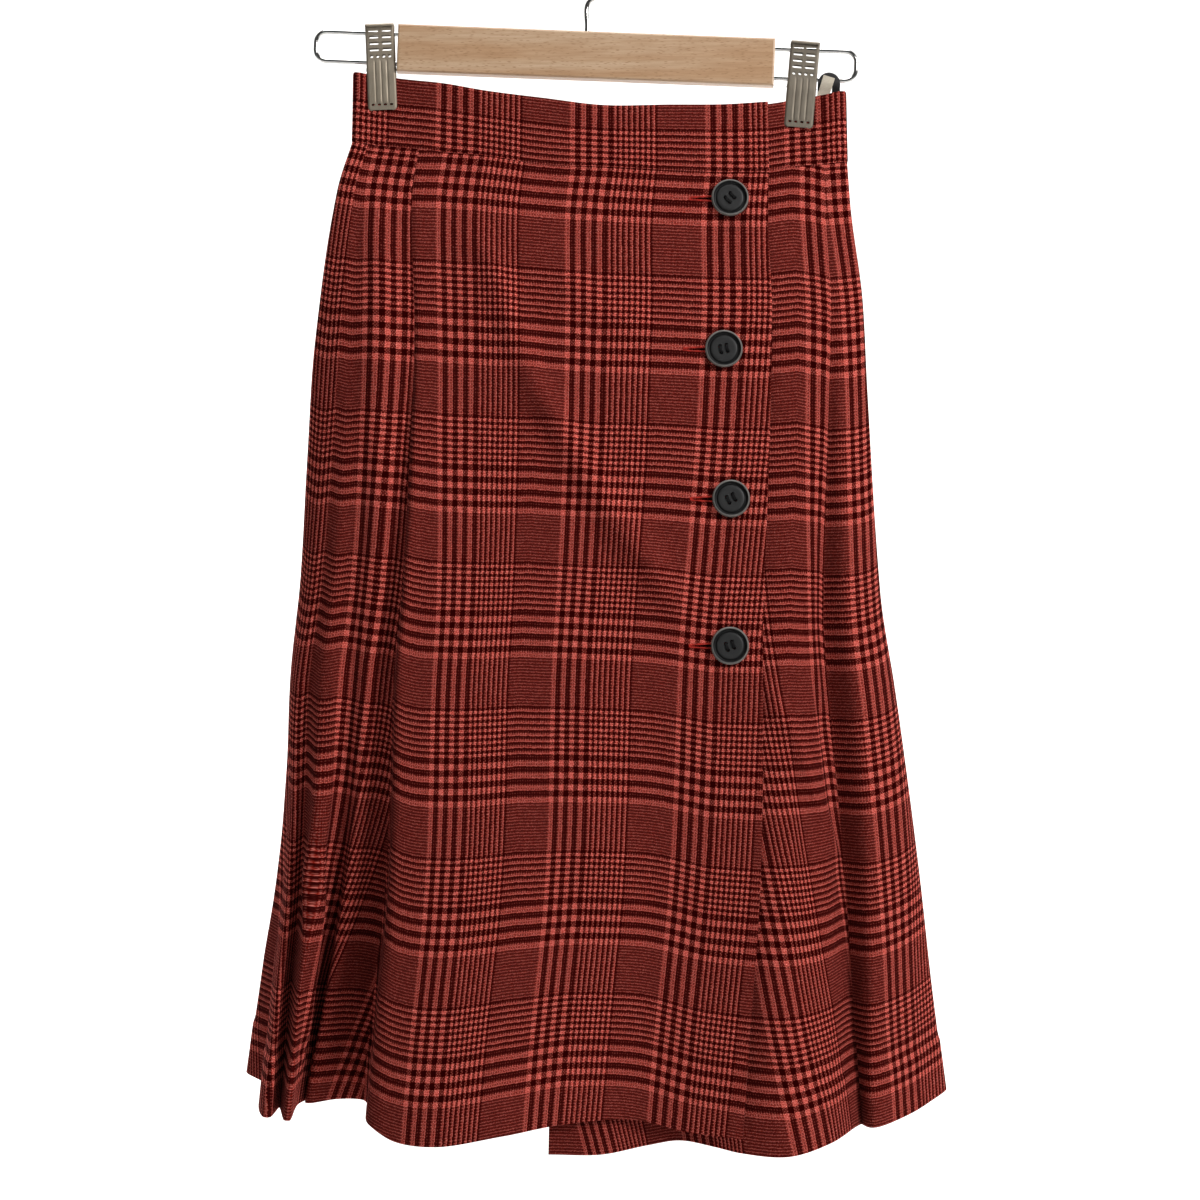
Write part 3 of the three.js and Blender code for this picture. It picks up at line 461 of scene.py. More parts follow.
def glen_check(name, light, yarn_top_highlight, dark):
    """The check yarn by yarn, on the cloth's own millimetres across and down, with a painted highlight
    on the light yarns' tops and painted shade between the yarns.
    """
    material, tree, shader = new_material(name)
    place = node(tree, "ShaderNodeUVMap", {"uv_map": "cloth_mm"})
    # Spun yarns lie a little unevenly, so the edges of the stripes are ragged.
    wander = (YARN_WANDER, YARN_WANDER, 0.0)
    half_wander = (YARN_WANDER / 2, YARN_WANDER / 2, 0.0)
    uneven = node(tree, "ShaderNodeTexNoise", Vector=place, Scale=0.85, Detail=1.0).outputs["Color"]
    centred = node(tree, "ShaderNodeVectorMath", "SUBTRACT", place, half_wander)
    shifted = node(tree, "ShaderNodeVectorMath", "MULTIPLY_ADD", uneven, wander, centred)
    split = node(tree, "ShaderNodeSeparateXYZ", Vector=shifted)
    warp = node(tree, MATH, "DIVIDE", split.outputs[0], WARP_PITCH)
    weft = node(tree, MATH, "DIVIDE", split.outputs[1], WEFT_PITCH)
    end = node(tree, MATH, "FLOOR", warp)
    pick = node(tree, MATH, "FLOOR", weft)
    # Warp: 32 ends of four and four, 32 of two and two, 34 of one and one; light comes first.
    beyond, _, warp_broad = stripes(tree, end, WARP_REPEAT, (8.0, 4.0, 2.0))
    warp_light = node(tree, MATH, "LESS_THAN", beyond, 0.0)
    # Weft: 32 picks of four and four, 32 of one and one, 32 of two and two; dark comes first.
    beyond, first, second = stripes(tree, pick, WEFT_REPEAT, (8.0, 2.0, 4.0))
    weft_light = node(tree, MATH, "GREATER_THAN", beyond, 0.0)
    weft_broad = node(tree, MATH, "SUBTRACT", 1.0, node(tree, MATH, "SUBTRACT", second, first))
    # Plain weave: the warp lies on top where end and pick add to an odd number.
    both = node(tree, MATH, "ADD", end, pick)
    on_top = node(tree, MATH, "GREATER_THAN", node(tree, MATH, "FLOORED_MODULO", both, 2.0), 0.5)
    shown = node(tree, "ShaderNodeMix", n0=on_top, n2=weft_light, n3=warp_light)
    # Each yarn is a melange: its tone drifts a little along its length and from yarn to yarn.
    drift = []
    for number, length, scale in ((pick, warp, 0.81), (end, weft, 0.73)):
        run = node(tree, MATH, "MULTIPLY", length, 0.13)
        spot = node(tree, "ShaderNodeCombineXYZ", X=number, Y=run)
        drift.append(node(tree, "ShaderNodeTexNoise", Vector=spot, Scale=scale, Detail=2.0))
    tone = node(tree, "ShaderNodeMix", n0=on_top, n2=drift[0], n3=drift[1])
    # Wool fuzz blends each yarn with the cloth around it. A light yarn among dark ones is dulled, partly
    # by dark fuzz over it and partly by painted shade.
    around = node(tree, MATH, "ADD", *(
        node(tree, MATH, "MULTIPLY_ADD", node(tree, MATH, "SUBTRACT", part, 0.5), broad, 0.5)
        for part, broad in ((warp_light, warp_broad), (weft_light, weft_broad))))
    haze = node(tree, MATH, "MULTIPLY", around, FUZZ / 2)
    blended = node(tree, MATH, "MULTIPLY_ADD", shown, 1 - FUZZ, haze)
    clear = node(tree, MATH, "MULTIPLY_ADD", around, 0.05, 0.327)
    clear = node(tree, MATH, "MULTIPLY_ADD", around, clear, 0.09)
    share = node(tree, MATH, "MULTIPLY", blended, clear)
    # Painted shade: the gaps between the yarns are darker.
    turns = (node(tree, MATH, "MULTIPLY", node(tree, MATH, "FRACT", yarn), math.pi)
             for yarn in (warp, weft))
    pillow = node(tree, MATH, "MULTIPLY", *(node(tree, MATH, "SINE", turn) for turn in turns))
    # Painted highlight: a light yarn is mixed towards a paler pink where it rises to its top.
    highlit_yarn = node(tree, "ShaderNodeMix", IN_COLOUR, n0=pillow, n6=light, n7=yarn_top_highlight).outputs[2]
    yarn = node(tree, "ShaderNodeMix", IN_COLOUR, n0=share, n6=dark, n7=highlit_yarn).outputs[2]
    # Painted shade between the yarns, multiplied by each yarn's own tone.
    shade = node(tree, MATH, "MULTIPLY_ADD", pillow, 0.55, 0.62)
    shade = node(tree, MATH, "MULTIPLY", shade, node(tree, MATH, "MULTIPLY_ADD", tone, 0.5, 0.75))
    dyed_and_shaded = node(tree, "ShaderNodeVectorMath", "SCALE", Vector=yarn, Scale=shade)
    relief = node(tree, "ShaderNodeBump", Strength=0.6, Distance=0.00025, Height=pillow)
    feed(tree, shader, Base_Color=dyed_and_shaded, Normal=relief, Roughness=0.92, Specular_IOR_Level=0.01,
         Sheen_Weight=0.012, Sheen_Roughness=0.5)
    return material


# The third colour is the painted highlight on the light yarns' tops.
check_cloth = glen_check("wool blend glen check", "#CE3D2B", "#E59388", "#380202")

# Rows of points down the cloth. Two lie above the waist seam, inside the band, and close ones
# shape the seam and the hem.
DROP = 646
ROWS = 236
ROWS_INSIDE_BAND = {-0.003, -0.0015}
ARC_STEPS = 20
hem_share_step = 1 / DROP
SHARES = sorted(
    ROWS_INSIDE_BAND
    | {k / ROWS for k in range(ROWS + 1)}
    | {1 - edge * hem_share_step for edge in EDGE_STEPS}
    | {edge * hem_share_step for edge in EDGE_STEPS}
)
SHARES = np.array(SHARES)
RING_FOLDS = fold_points(SHARES)
line_arc_points = ring_points(RING_FOLDS, np.arange(0, len(LINE_NAMES) - 1 + 1e-9, 1 / ARC_STEPS))
line_arc = np.concatenate([
    np.zeros((len(SHARES), 1)),
    np.cumsum(np.linalg.norm(np.diff(line_arc_points, axis=1), axis=2), axis=1),
], axis=1)
arc_at_lines = line_arc[:, ::ARC_STEPS]
arc_places = np.arange(line_arc.shape[1]) / ARC_STEPS

for name, panel in PANELS.items():
    first, last = (LINE_NAMES.index(edge) for edge in panel["edges"])
    places = spaced(RING_FOLDS, first, last, GRID_STEP, EDGE_STEPS)
    grid = ring_points(RING_FOLDS, places)
    arc_columns = np.stack([np.interp(places, arc_places, row) for row in line_arc])
    arc = {"at_columns": arc_columns, "at_lines": arc_at_lines}
    across = from_pins(LINE_NAMES, panel["across"], arc, SHARES)
    down = from_pins(LINE_NAMES, panel["down"], arc, SHARES)
    from_first = arc_columns - arc_columns[:, :1]
    from_last = arc_columns[:, -1:] - arc_columns
    # Sewn edges lie close, so that no light shows between two gores.
    for column, inward in ((0, 1), (-1, -2)):
        step = grid[:, inward] - grid[:, column]
        step /= np.linalg.norm(step, axis=1, keepdims=True)
        grid[:, column] += step * SEWN_GAP / 2
    outer = np.full(across.shape, CLOTH_WALL / 2)
    inner = np.full(across.shape, CLOTH_WALL / 2 - 0.2)
    for edge, distance in zip(panel["edges"], (from_first, from_last)):
        if edge in FREE_EDGES:
            fall = np.clip(1 - distance / 1.2, 0, 1) ** 2
            outer -= FOLD_ROUND * fall
            inner -= 0.2 * fall
        else:
            outer -= SEAM_DITCH * np.exp(-(distance / SEAM_DITCH_WIDTH) ** 2)
    calm = 1 - np.exp(-(np.minimum(from_first, from_last) / 6) ** 2)
    relief = crease_relief(name, across, down) * calm
    outer -= relief
    inner += relief
    # The hem is turned up inside, and its lower edge is a soft fold.
    above_hem = (1 - SHARES)[:, None] / hem_share_step
    inner += HEM_EXTRA / (1 + np.exp(np.minimum(above_hem - HEM_DEPTH, 60) * 1.5))
    outer -= FOLD_ROUND * np.clip(1 - above_hem / 1.2, 0, 1) ** 2
    # The top edge goes up inside the waistband.
    outer -= 0.5 * np.clip(1 - SHARES[:, None] / (1.5 * hem_share_step), 0, 1)
    piece = cloth_shell("cloth_" + name, grid, np.stack([across, down], axis=2), outer, inner)
    piece.data.materials.append(check_cloth)
    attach(piece, "root")
    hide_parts(name)

# The waistband: one straight strip of the same cloth, doubled and interfaced, so it is firmer
# and a little thicker. Its top edge is a fold and its lower edge is seamed to the gores.
BAND_WALL = 2.2
BAND_TOP_INSET = 2.5
BAND_ACROSS = {"wrap_edge": 220.7, "left_turn": -56.0, "right_turn": -404.0, "underlap_edge": -599.0}
BAND_DOWN = (97.5, 51.5)
band_middle = (OUTLINE[0, 1] + OUTLINE[0, 2]) / 2
band_half = (OUTLINE[0, 2] - OUTLINE[0, 1]) / 2
band_shares = np.array(sorted({k / 20 for k in range(21)} | {0.006, 0.02, 0.045, 0.955, 0.98, 0.994}))
band_folds = np.repeat(fold_points(np.array([0.0])), len(band_shares), axis=0)
narrowing = 1 - (BAND_TOP_INSET / 2 / band_half) * band_shares[:, None]
band_folds[..., 0] = band_middle + (band_folds[..., 0] - band_middle) * narrowing
band_folds[..., 2] = LINE_SEAM + (LINE_TOP - LINE_SEAM) * band_shares[:, None]
band_folds = band_folds[::-1]
band_places = spaced(band_folds, 0, len(LINE_NAMES) - 1, 2.4, EDGE_STEPS)
band_grid = ring_points(band_folds, band_places)
band_arc = np.cumsum(np.linalg.norm(np.diff(band_grid[-1], axis=0), axis=1))
band_arc = np.concatenate([[0], band_arc])
pin_places = [LINE_NAMES.index(name) for name in BAND_ACROSS]
pin_arcs = np.interp(pin_places, band_places, band_arc)
band_across = np.interp(band_arc, pin_arcs, list(BAND_ACROSS.values()))
band_across = np.repeat(band_across[None], len(band_shares), axis=0)
band_down = BAND_DOWN[1] + (BAND_DOWN[0] - BAND_DOWN[1]) * np.repeat(
    (1 - band_shares[::-1])[:, None], band_across.shape[1], axis=1)
outer = np.full(band_across.shape, BAND_WALL / 2)
inner = np.full(band_across.shape, BAND_WALL / 2)
edge_fall = np.clip(1 - np.minimum(band_shares, 1 - band_shares)[::-1] / 0.035, 0, 1)[:, None] ** 2
outer -= 0.7 * edge_fall
inner -= 0.7 * edge_fall
ends = np.minimum(band_arc, band_arc[-1] - band_arc)[None]
outer -= 0.6 * np.clip(1 - ends / 1.5, 0, 1) ** 2
ripple = 0.18 * np.sin(band_across / 13.0) * np.sin(band_down / 11.0)
ripple += 0.15 * np.sin(band_across / 29.0 + 1)
outer += ripple * (1 - edge_fall)
inner -= ripple * (1 - edge_fall)
band_uvs = np.stack([band_across, band_down], axis=2)
waistband = cloth_shell("cloth_waistband", band_grid, band_uvs, outer, inner)
waistband.data.materials.append(check_cloth)
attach(waistband, "root")
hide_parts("waistband")

# Buttonholes. Each is a straight slit through the wrap, pointed at its inner end, with both lips
# overcast in red twist: upright stitches side by side, and a firm raised cord along the slit.
BUTTONS = (
    # x and z in millimetres, turn in degrees
    (97.3, -174.2, 42),
    (92.7, -277.0, 12),
    (97.1, -378.0, 28),
    (96.0, -476.2, 20),
)
SLIT_REACH = (-27.0, 3.0)
SLIT_HALF = 0.9
LIP_WIDTH = 1.5
STITCH_PITCH = 0.62
TWIST = 0.5
panel = bpy.data.objects["cloth_front_wrap_panel"]
wrap_tree = BVHTree.FromPolygons(
    [tuple(vertex.co / MM) for vertex in panel.data.vertices],
    [tuple(face.vertices) for face in panel.data.polygons],
)


def wrap_point(x, z, lift=0.0):
    """The point on the wrap's face at a place seen from the front."""
    hit = wrap_tree.ray_cast(Vector((x, -300, z)), Vector((0, 1, 0)))[0]
    return hit + Vector((0, -lift, 0))


def wrap_outward(x, z, reach=5.0):
    """The wrap's outward direction at a place, evened over a few millimetres."""
    along = wrap_point(x + reach, z) - wrap_point(x - reach, z)
    up = wrap_point(x, z + reach) - wrap_point(x, z - reach)
    return along.cross(up).normalized()


def run_tree(name, points, edges, tree, values):
    """Runs a Geometry Nodes tree on a path in millimetres and keeps the result as plain mesh."""
    path = bpy.data.meshes.new(name)
    path.from_pydata([tuple(Vector(point) * MM) for point in points], edges, [])
    piece = bpy.data.objects.new(name, path)
    bpy.context.scene.collection.objects.link(piece)
    modifier = piece.modifiers.new(name, "NODES")
    modifier.node_group = tree
    for item in tree.interface.items_tree:
        if item.item_type == "SOCKET" and item.in_out == "INPUT" and item.name in values:
            modifier[item.identifier] = values[item.name]
    evaluated = piece.evaluated_get(bpy.context.evaluated_depsgraph_get())
    grown = bpy.data.meshes.new_from_object(evaluated)
    piece.modifiers.clear()
    piece.data = grown
    grown.polygons.foreach_set("use_smooth", [True] * len(grown.polygons))
    return piece


def new_tree(name, inputs):
    """A Geometry Nodes tree with its group input and output."""
    tree = bpy.data.node_groups.new(name, "GeometryNodeTree")
    tree.interface.new_socket("Geometry", in_out="OUTPUT", socket_type="NodeSocketGeometry")
    tree.interface.new_socket("Geometry", in_out="INPUT", socket_type="NodeSocketGeometry")
    for label, kind in inputs:
        tree.interface.new_socket(label, in_out="INPUT", socket_type=kind)
    return tree, tree.nodes.new("NodeGroupInput"), tree.nodes.new("NodeGroupOutput")


overcast_tree, given, result = new_tree("overcast lip", (
    ("Pitch", "NodeSocketFloat"),
    ("Stitch Length", "NodeSocketFloat"),
    ("Thread Diameter", "NodeSocketFloat"),
    ("Outward", "NodeSocketVector"),
    ("Thread", "NodeSocketMaterial"),
))
lip = node(overcast_tree, "GeometryNodeMeshToCurve", Mesh=given.outputs["Geometry"])
spots = node(overcast_tree, "GeometryNodeResampleCurve", {"mode": "LENGTH"}, Curve=lip.outputs[0],
             Length=given.outputs["Pitch"])
radius = node(overcast_tree, MATH, "MULTIPLY", given.outputs["Thread Diameter"], 0.5)
grain = node(overcast_tree, "GeometryNodeMeshUVSphere", Segments=8, Rings=6, Radius=1.0)
size = node(overcast_tree, "ShaderNodeCombineXYZ", X=radius, Z=radius,
            Y=node(overcast_tree, MATH, "MULTIPLY", given.outputs["Stitch Length"], 0.5))
upright = node(overcast_tree, "FunctionNodeAlignRotationToVector", {"axis": "Z"},
               Vector=given.outputs["Outward"])
tangent = node(overcast_tree, "GeometryNodeInputTangent")
turned = node(overcast_tree, "FunctionNodeAlignRotationToVector", {"axis": "X", "pivot_axis": "Z"},
              Rotation=upright.outputs[0], Vector=tangent.outputs[0])
stitches = node(overcast_tree, "GeometryNodeInstanceOnPoints", Points=spots.outputs[0],
                Instance=grain.outputs[0], Rotation=turned.outputs[0], Scale=size.outputs[0])
circle = node(overcast_tree, "GeometryNodeCurvePrimitiveCircle", Resolution=8,
              Radius=node(overcast_tree, MATH, "MULTIPLY", radius, 0.8))
cord = node(overcast_tree, "GeometryNodeCurveToMesh", Curve=spots.outputs[0],
            Profile_Curve=circle.outputs[0])
joined = node(overcast_tree, "GeometryNodeJoinGeometry")
for part in (cord, stitches):
    overcast_tree.links.new(part.outputs[0], joined.inputs[0])
real = node(overcast_tree, "GeometryNodeRealizeInstances", Geometry=joined.outputs[0])
dressed = node(overcast_tree, "GeometryNodeSetMaterial", Geometry=real.outputs[0],
               Material=given.outputs["Thread"])
overcast_tree.links.new(dressed.outputs[0], result.inputs[0])


def spun_thread(name, colour, pitch):
    """Spun polyester sewing thread: matt, with the fine slanting ridges of its twist, painted darker in
    the grooves between them as shade and lighter on their tops as highlight.
    """
    material, tree, shader = new_material(name)
    place = node(tree, "ShaderNodeTexCoord").outputs["Object"]
    ply = node(tree, "ShaderNodeTexWave", {"bands_direction": "DIAGONAL"}, Vector=place,
               Scale=1 / (pitch * MM * 20), Distortion=1.5, Detail=1.0).outputs["Fac"]
    # Painted shade and highlight: the colour follows the twist's ridges, darker in the grooves.
    tint = node(tree, "ShaderNodeMapRange", Value=ply, To_Min=0.7, To_Max=1.15)
    dyed_and_shaded = node(tree, "ShaderNodeVectorMath", "SCALE", Vector=to_linear(colour)[:3], Scale=tint)
    relief = node(tree, "ShaderNodeBump", Strength=0.4, Distance=0.0001, Height=ply)
    feed(tree, shader, Base_Color=dyed_and_shaded, Normal=relief, Roughness=0.8, Specular_IOR_Level=0.3)
    return material


def prism(low, high):
    """The closed prism between two outlines with the same number of points."""
    count = len(low)
    faces = [list(range(count)), [count + k for k in reversed(range(count))]]
    faces += [[k, count + k, count + (k + 1) % count, (k + 1) % count] for k in range(count)]
    return low + high, faces


def merged(parts):
    """Several vertex and face lists as one."""
    vertices, faces = [], []
    for part_vertices, part_faces in parts:
        faces += [[len(vertices) + i for i in face] for face in part_faces]
        vertices += [tuple(vertex) for vertex in part_vertices]
    return vertices, faces


red_twist = spun_thread("red buttonhole twist", "#B23429", 0.5)
LIP_STEPS = 40
slits = []
for number, (x, z, _) in enumerate(BUTTONS, 1):
    outward = wrap_outward(x, z)
    start, end = x + SLIT_REACH[0], x + SLIT_REACH[1]
    lips = []
    for side in (1, -1):
        for step in range(LIP_STEPS + 1):
            share = step / LIP_STEPS if side > 0 else 1 - step / LIP_STEPS
            half = SLIT_HALF * math.sin(math.pi * min(1, share * 1.6) / 2)
            half *= min(1, (1 - share) * 12) ** 0.5
            lips.append((start + (end - start) * share, z + side * (half + 0.05)))
    beside = LIP_WIDTH * 0.4
    spots_on_cloth = [wrap_point(px, pz + (beside if i <= LIP_STEPS else -beside), 0.12)
                      for i, (px, pz) in enumerate(lips)]
    edges = [(i, (i + 1) % len(lips)) for i in range(len(lips))]
    lip_piece = run_tree("buttonhole_%d" % number, spots_on_cloth, edges, overcast_tree, {
        "Pitch": STITCH_PITCH * MM, "Stitch Length": LIP_WIDTH * MM, "Thread Diameter": TWIST * MM,
        "Outward": tuple(outward), "Thread": red_twist,
    })
    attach(lip_piece, "root")
    # The slit's own prism goes through both layers of the wrap.
    middle_y = wrap_point(x - 12, z).y
    slits.append(prism(*([(px, middle_y + depth, pz) for px, pz in lips] for depth in (-6, 8))))


def cut_out(piece, vertices, faces):
    """Cuts closed prisms, given in millimetres, out of a piece and leaves it a plain mesh."""
    mesh = bpy.data.meshes.new("cutter")
    mesh.from_pydata([tuple(Vector(vertex) * MM) for vertex in vertices], [], faces)
    helper = bmesh.new()
    helper.from_mesh(mesh)
    bmesh.ops.remove_doubles(helper, verts=helper.verts, dist=1e-6)
    bmesh.ops.recalc_face_normals(helper, faces=helper.faces)
    helper.to_mesh(mesh)
    helper.free()
    cutter = bpy.data.objects.new("cutter", mesh)
    bpy.context.scene.collection.objects.link(cutter)
    modifier = piece.modifiers.new("cut", "BOOLEAN")
    modifier.operation = "DIFFERENCE"
    modifier.solver = "EXACT"
    modifier.object = cutter
    evaluated = piece.evaluated_get(bpy.context.evaluated_depsgraph_get())
    cut = bpy.data.meshes.new_from_object(evaluated)
    piece.modifiers.clear()
    piece.data = cut
    bpy.data.objects.remove(cutter)


cut_out(panel, *merged(slits))

# Buttons. Four-hole coat buttons turned from matt black polyester resin: a round raised rim, a
# groove inside it and a flat disc. The rim's outer edge is painted lighter, partly for wear from
# handling and partly as a painted highlight, and the groove is painted darker as shade.
BUTTON_PROFILE = (
    # radius, height
    (0, 0), (6, 0), (10.2, 0.1), (11.4, 0.5), (12.2, 1.2), (12.6, 2.0), (12.7, 2.6), (12.55, 3.2),
    (12.25, 3.7), (11.95, 4.05), (11.6, 4.15), (11.3, 4.0), (11.0, 3.5), (10.75, 2.8), (10.3, 2.15),
    (9.8, 2.0), (9.4, 2.2), (9.1, 2.65), (8.8, 2.95), (8.3, 3.1), (6.5, 3.08), (4.5, 3.02), (0, 3.0),
)
BUTTON_SIDES = 72
BUTTON_LIFT = 0.4
HOLE_RADIUS = 1.25
HOLE_PITCH = 4.4


def turned_resin():
    """Cast and turned polyester resin: faint turning rings, fine scuffs, a rim painted lighter for
    handling wear and as a painted highlight, and painted shade in the groove.
    """
    material, tree, shader = new_material("matt black polyester resin")
    radial = node(tree, "ShaderNodeAttribute", {"attribute_name": "radius_mm"}).outputs["Fac"]
    place = node(tree, "ShaderNodeTexCoord").outputs["Object"]
    soft = {"interpolation_type": "SMOOTHSTEP"}
    # Painted lighter outer rim: partly handling wear, partly a painted highlight.
    rubbed_and_highlit = node(tree, "ShaderNodeMapRange", soft, Value=radial, From_Min=11.1, From_Max=11.7)
    # Painted shade: the groove inside the rim is darker than the disc.
    groove_shade = node(tree, "ShaderNodeMapRange", soft, Value=radial, From_Min=8.7, From_Max=9.3)
    scuff = node(tree, "ShaderNodeTexNoise", Vector=place, Scale=900.0, Detail=4.0)
    patches = node(tree, "ShaderNodeTexNoise", Vector=place, Scale=180.0, Detail=2.0)
    worn_and_highlit = node(tree, MATH, "MULTIPLY", rubbed_and_highlit, node(tree, MATH, "MULTIPLY_ADD", patches, 0.5, 0.7))
    disc_and_groove_shade = node(tree, "ShaderNodeMix", IN_COLOUR, n0=groove_shade, n6="#262626", n7="#0B0B0B").outputs[2]
    black = node(tree, "ShaderNodeMix", IN_COLOUR, n0=worn_and_highlit, n6=disc_and_groove_shade, n7="#6A6864").outputs[2]
    rings = node(tree, MATH, "SINE", node(tree, MATH, "MULTIPLY", radial, 2 * math.pi / 0.45))
    height = node(tree, MATH, "MULTIPLY_ADD", rings, 0.12, scuff)
    relief = node(tree, "ShaderNodeBump", Strength=0.25, Distance=0.00006, Height=height)
    rough = node(tree, "ShaderNodeMapRange", Value=scuff, To_Min=0.42, To_Max=0.58)
    feed(tree, shader, Base_Color=black, Normal=relief, Roughness=rough, IOR=1.55)
    return material


resin = turned_resin()
black_thread = spun_thread("black button thread", "#141213", 0.5)
button_vertices = [(0, 0, 0)]
for r, h in BUTTON_PROFILE[1:-1]:
    for k in range(BUTTON_SIDES):
        turn = 2 * math.pi * k / BUTTON_SIDES
        button_vertices.append((r * math.cos(turn), r * math.sin(turn), h))
button_vertices.append((0, 0, BUTTON_PROFILE[-1][1]))
button_faces = []
rings = len(BUTTON_PROFILE) - 2
for k in range(BUTTON_SIDES):
    following = (k + 1) % BUTTON_SIDES
    button_faces.append((0, 1 + following, 1 + k))
    for ring in range(rings - 1):
        a = 1 + ring * BUTTON_SIDES
        b = a + BUTTON_SIDES
        button_faces.append((a + k, a + following, b + following, b + k))
    top = 1 + (rings - 1) * BUTTON_SIDES
    button_faces.append((top + k, top + following, len(button_vertices) - 1))
HOLE_SIDES = 20
holes = []
for across in (-0.5, 0.5):
    for up in (-0.5, 0.5):
        turns = [2 * math.pi * k / HOLE_SIDES for k in range(HOLE_SIDES)]
        outline = [(across * HOLE_PITCH + HOLE_RADIUS * math.cos(turn),
                    up * HOLE_PITCH + HOLE_RADIUS * math.sin(turn)) for turn in turns]
        holes.append(prism(*([(x, y, depth) for x, y in outline] for depth in (-2, 6))))


def tube(points, radii, sides, across):
    """A closed round bar along points. Across is one direction square to the whole path."""
    points = np.asarray(points, float)
    along = np.gradient(points, axis=0)
    along /= np.linalg.norm(along, axis=1, keepdims=True)
    across = np.asarray(across, float)
    other = np.cross(along, across)
    turns = np.arange(sides) * 2 * math.pi / sides
    ring = np.cos(turns)[None, :, None] * across + np.sin(turns)[None, :, None] * other[:, None, :]
    vertices = points[:, None, :] + ring * np.asarray(radii, float)[:, None, None]
    faces = []
    for row in range(len(points) - 1):
        for k in range(sides):
            following = (k + 1) % sides
            a = row * sides
            faces.append((a + k, a + following, a + sides + following, a + sides + k))
    last = (len(points) - 1) * sides
    faces.append(list(reversed(range(sides))))
    faces.append([last + k for k in range(sides)])
    return vertices.reshape(-1, 3).tolist(), faces


def outward_faces(piece):
    """Turns a closed piece's faces to the outside."""
    helper = bmesh.new()
    helper.from_mesh(piece.data)
    bmesh.ops.recalc_face_normals(helper, faces=helper.faces)
    helper.to_mesh(piece.data)
    helper.free()


def placed(vertices, matrix):
    """Points moved by a matrix."""
    return [tuple(matrix @ Vector(vertex)) for vertex in vertices]


def move_mesh(piece, matrix):
    """Moves a mesh in metres by a matrix worked out in millimetres."""
    to_metres = Matrix.Diagonal((MM, MM, MM, 1))
    piece.data.transform(to_metres @ matrix @ to_metres.inverted())


# Thread goes down each hole, across the front in two parallel pairs and round the shank behind.
STRANDS = (-0.55, -0.18, 0.18, 0.55)
STRAND_RADIUS = 0.28
STRAND_STEPS = 12
STRAND_REACH = HOLE_PITCH + 0.9
STRAND_HEIGHT = 3.05
STRAND_ARCH = 0.75
DOWN_THE_HOLE = 1.6
thread_parts = []
for pair in (-0.5, 0.5):
    for strand in STRANDS:
        span = []
        for step in range(STRAND_STEPS + 1):
            share = step / STRAND_STEPS
            arched = STRAND_HEIGHT + STRAND_ARCH * math.sin(math.pi * share) ** 0.6
            rise = arched if 0 < share < 1 else DOWN_THE_HOLE
            span.append((pair * HOLE_PITCH + strand, (share - 0.5) * STRAND_REACH, rise))
        thread_parts.append(tube(span, [STRAND_RADIUS] * len(span), 8, (1, 0, 0)))
shank = [(0, 0, h) for h in (-0.75, -0.5, 0.0, 0.35)]
thread_parts.append(tube(shank, [2.6, 2.3, 2.3, 2.6], 20, (1, 0, 0)))
thread_vertices, thread_faces = merged(thread_parts)

for number, (x, z, turn) in enumerate(BUTTONS, 1):
    outward = wrap_outward(x, z)
    face_turn = Vector((0, 0, 1)).rotation_difference(outward).to_matrix().to_4x4()
    seat = Matrix.Translation(wrap_point(x, z) + outward * BUTTON_LIFT)
    place = seat @ face_turn @ Matrix.Rotation(math.radians(turn), 4, "Z")
    button = new_object("button_resin_%d" % number, button_vertices, button_faces)
    cut_out(button, *merged(holes))
    centre_radius = button.data.attributes.new("radius_mm", "FLOAT", "POINT")
    for vertex in button.data.vertices:
        centre_radius.data[vertex.index].value = math.hypot(vertex.co.x, vertex.co.y) / MM
    move_mesh(button, place)
    button.data.set_sharp_from_angle(angle=math.radians(45))
    button.data.materials.clear()
    button.data.materials.append(resin)
    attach(button, "root")
    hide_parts("button_%d" % number)
    thread = new_object("button_thread_%d" % number, placed(thread_vertices, place), thread_faces)
    outward_faces(thread)
    thread.data.materials.append(black_thread)
    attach(thread, "root")

# The hanging loop: black ribbed ribbon, one length bent over, with both ends caught in the top
# fold of the waistband.
RIBBON = {"x": 165.0, "spring": -95.0, "arch": 4.9, "width": 5.4, "wall": 0.6, "foot": -110.0,
          "forward": 2.4}
BAND_TOP = -100.4
WIRE_FOOT = -94.4


def ribbed_tape(name, colour, edge_colour, rib, roughness):
    """Narrow woven tape: ribs across it, a weave too fine to see between them, bound edges."""
    material, tree, shader = new_material(name)
    place = node(tree, "ShaderNodeUVMap", {"uv_map": "cloth_mm"}).outputs[0]
    split = node(tree, "ShaderNodeSeparateXYZ", Vector=place)
    ribs = node(tree, MATH, "MULTIPLY", split.outputs["Y"], 2 * math.pi / rib)
    ribs = node(tree, MATH, "SINE", ribs)
    picks = node(tree, MATH, "MULTIPLY", split.outputs["X"], 2 * math.pi / 0.5)
    picks = node(tree, MATH, "SINE", picks)
    weave = node(tree, MATH, "MULTIPLY_ADD", node(tree, MATH, "MULTIPLY", ribs, picks), 0.4, ribs)
    clouds = node(tree, "ShaderNodeTexNoise", Vector=place, Scale=3.0, Detail=3.0)
    fade = node(tree, "ShaderNodeMapRange", Value=clouds, From_Min=0.3, From_Max=0.7)
    faded = node(tree, "ShaderNodeMix", IN_COLOUR, n0=fade, n6=colour, n7=edge_colour).outputs[2]
    relief = node(tree, "ShaderNodeBump", Strength=0.7, Distance=0.00012, Height=weave)
    feed(tree, shader, Base_Color=faded, Normal=relief, Roughness=roughness, Sheen_Weight=0.15)
    return material


def ribbon_depth(z):
    """How far the ribbon stands forward of the waistband's middle at a height."""
    t = min(1, max(0, (z - BAND_TOP) / (WIRE_FOOT - BAND_TOP)))
    return -RIBBON["forward"] * t * t * (3 - 2 * t)


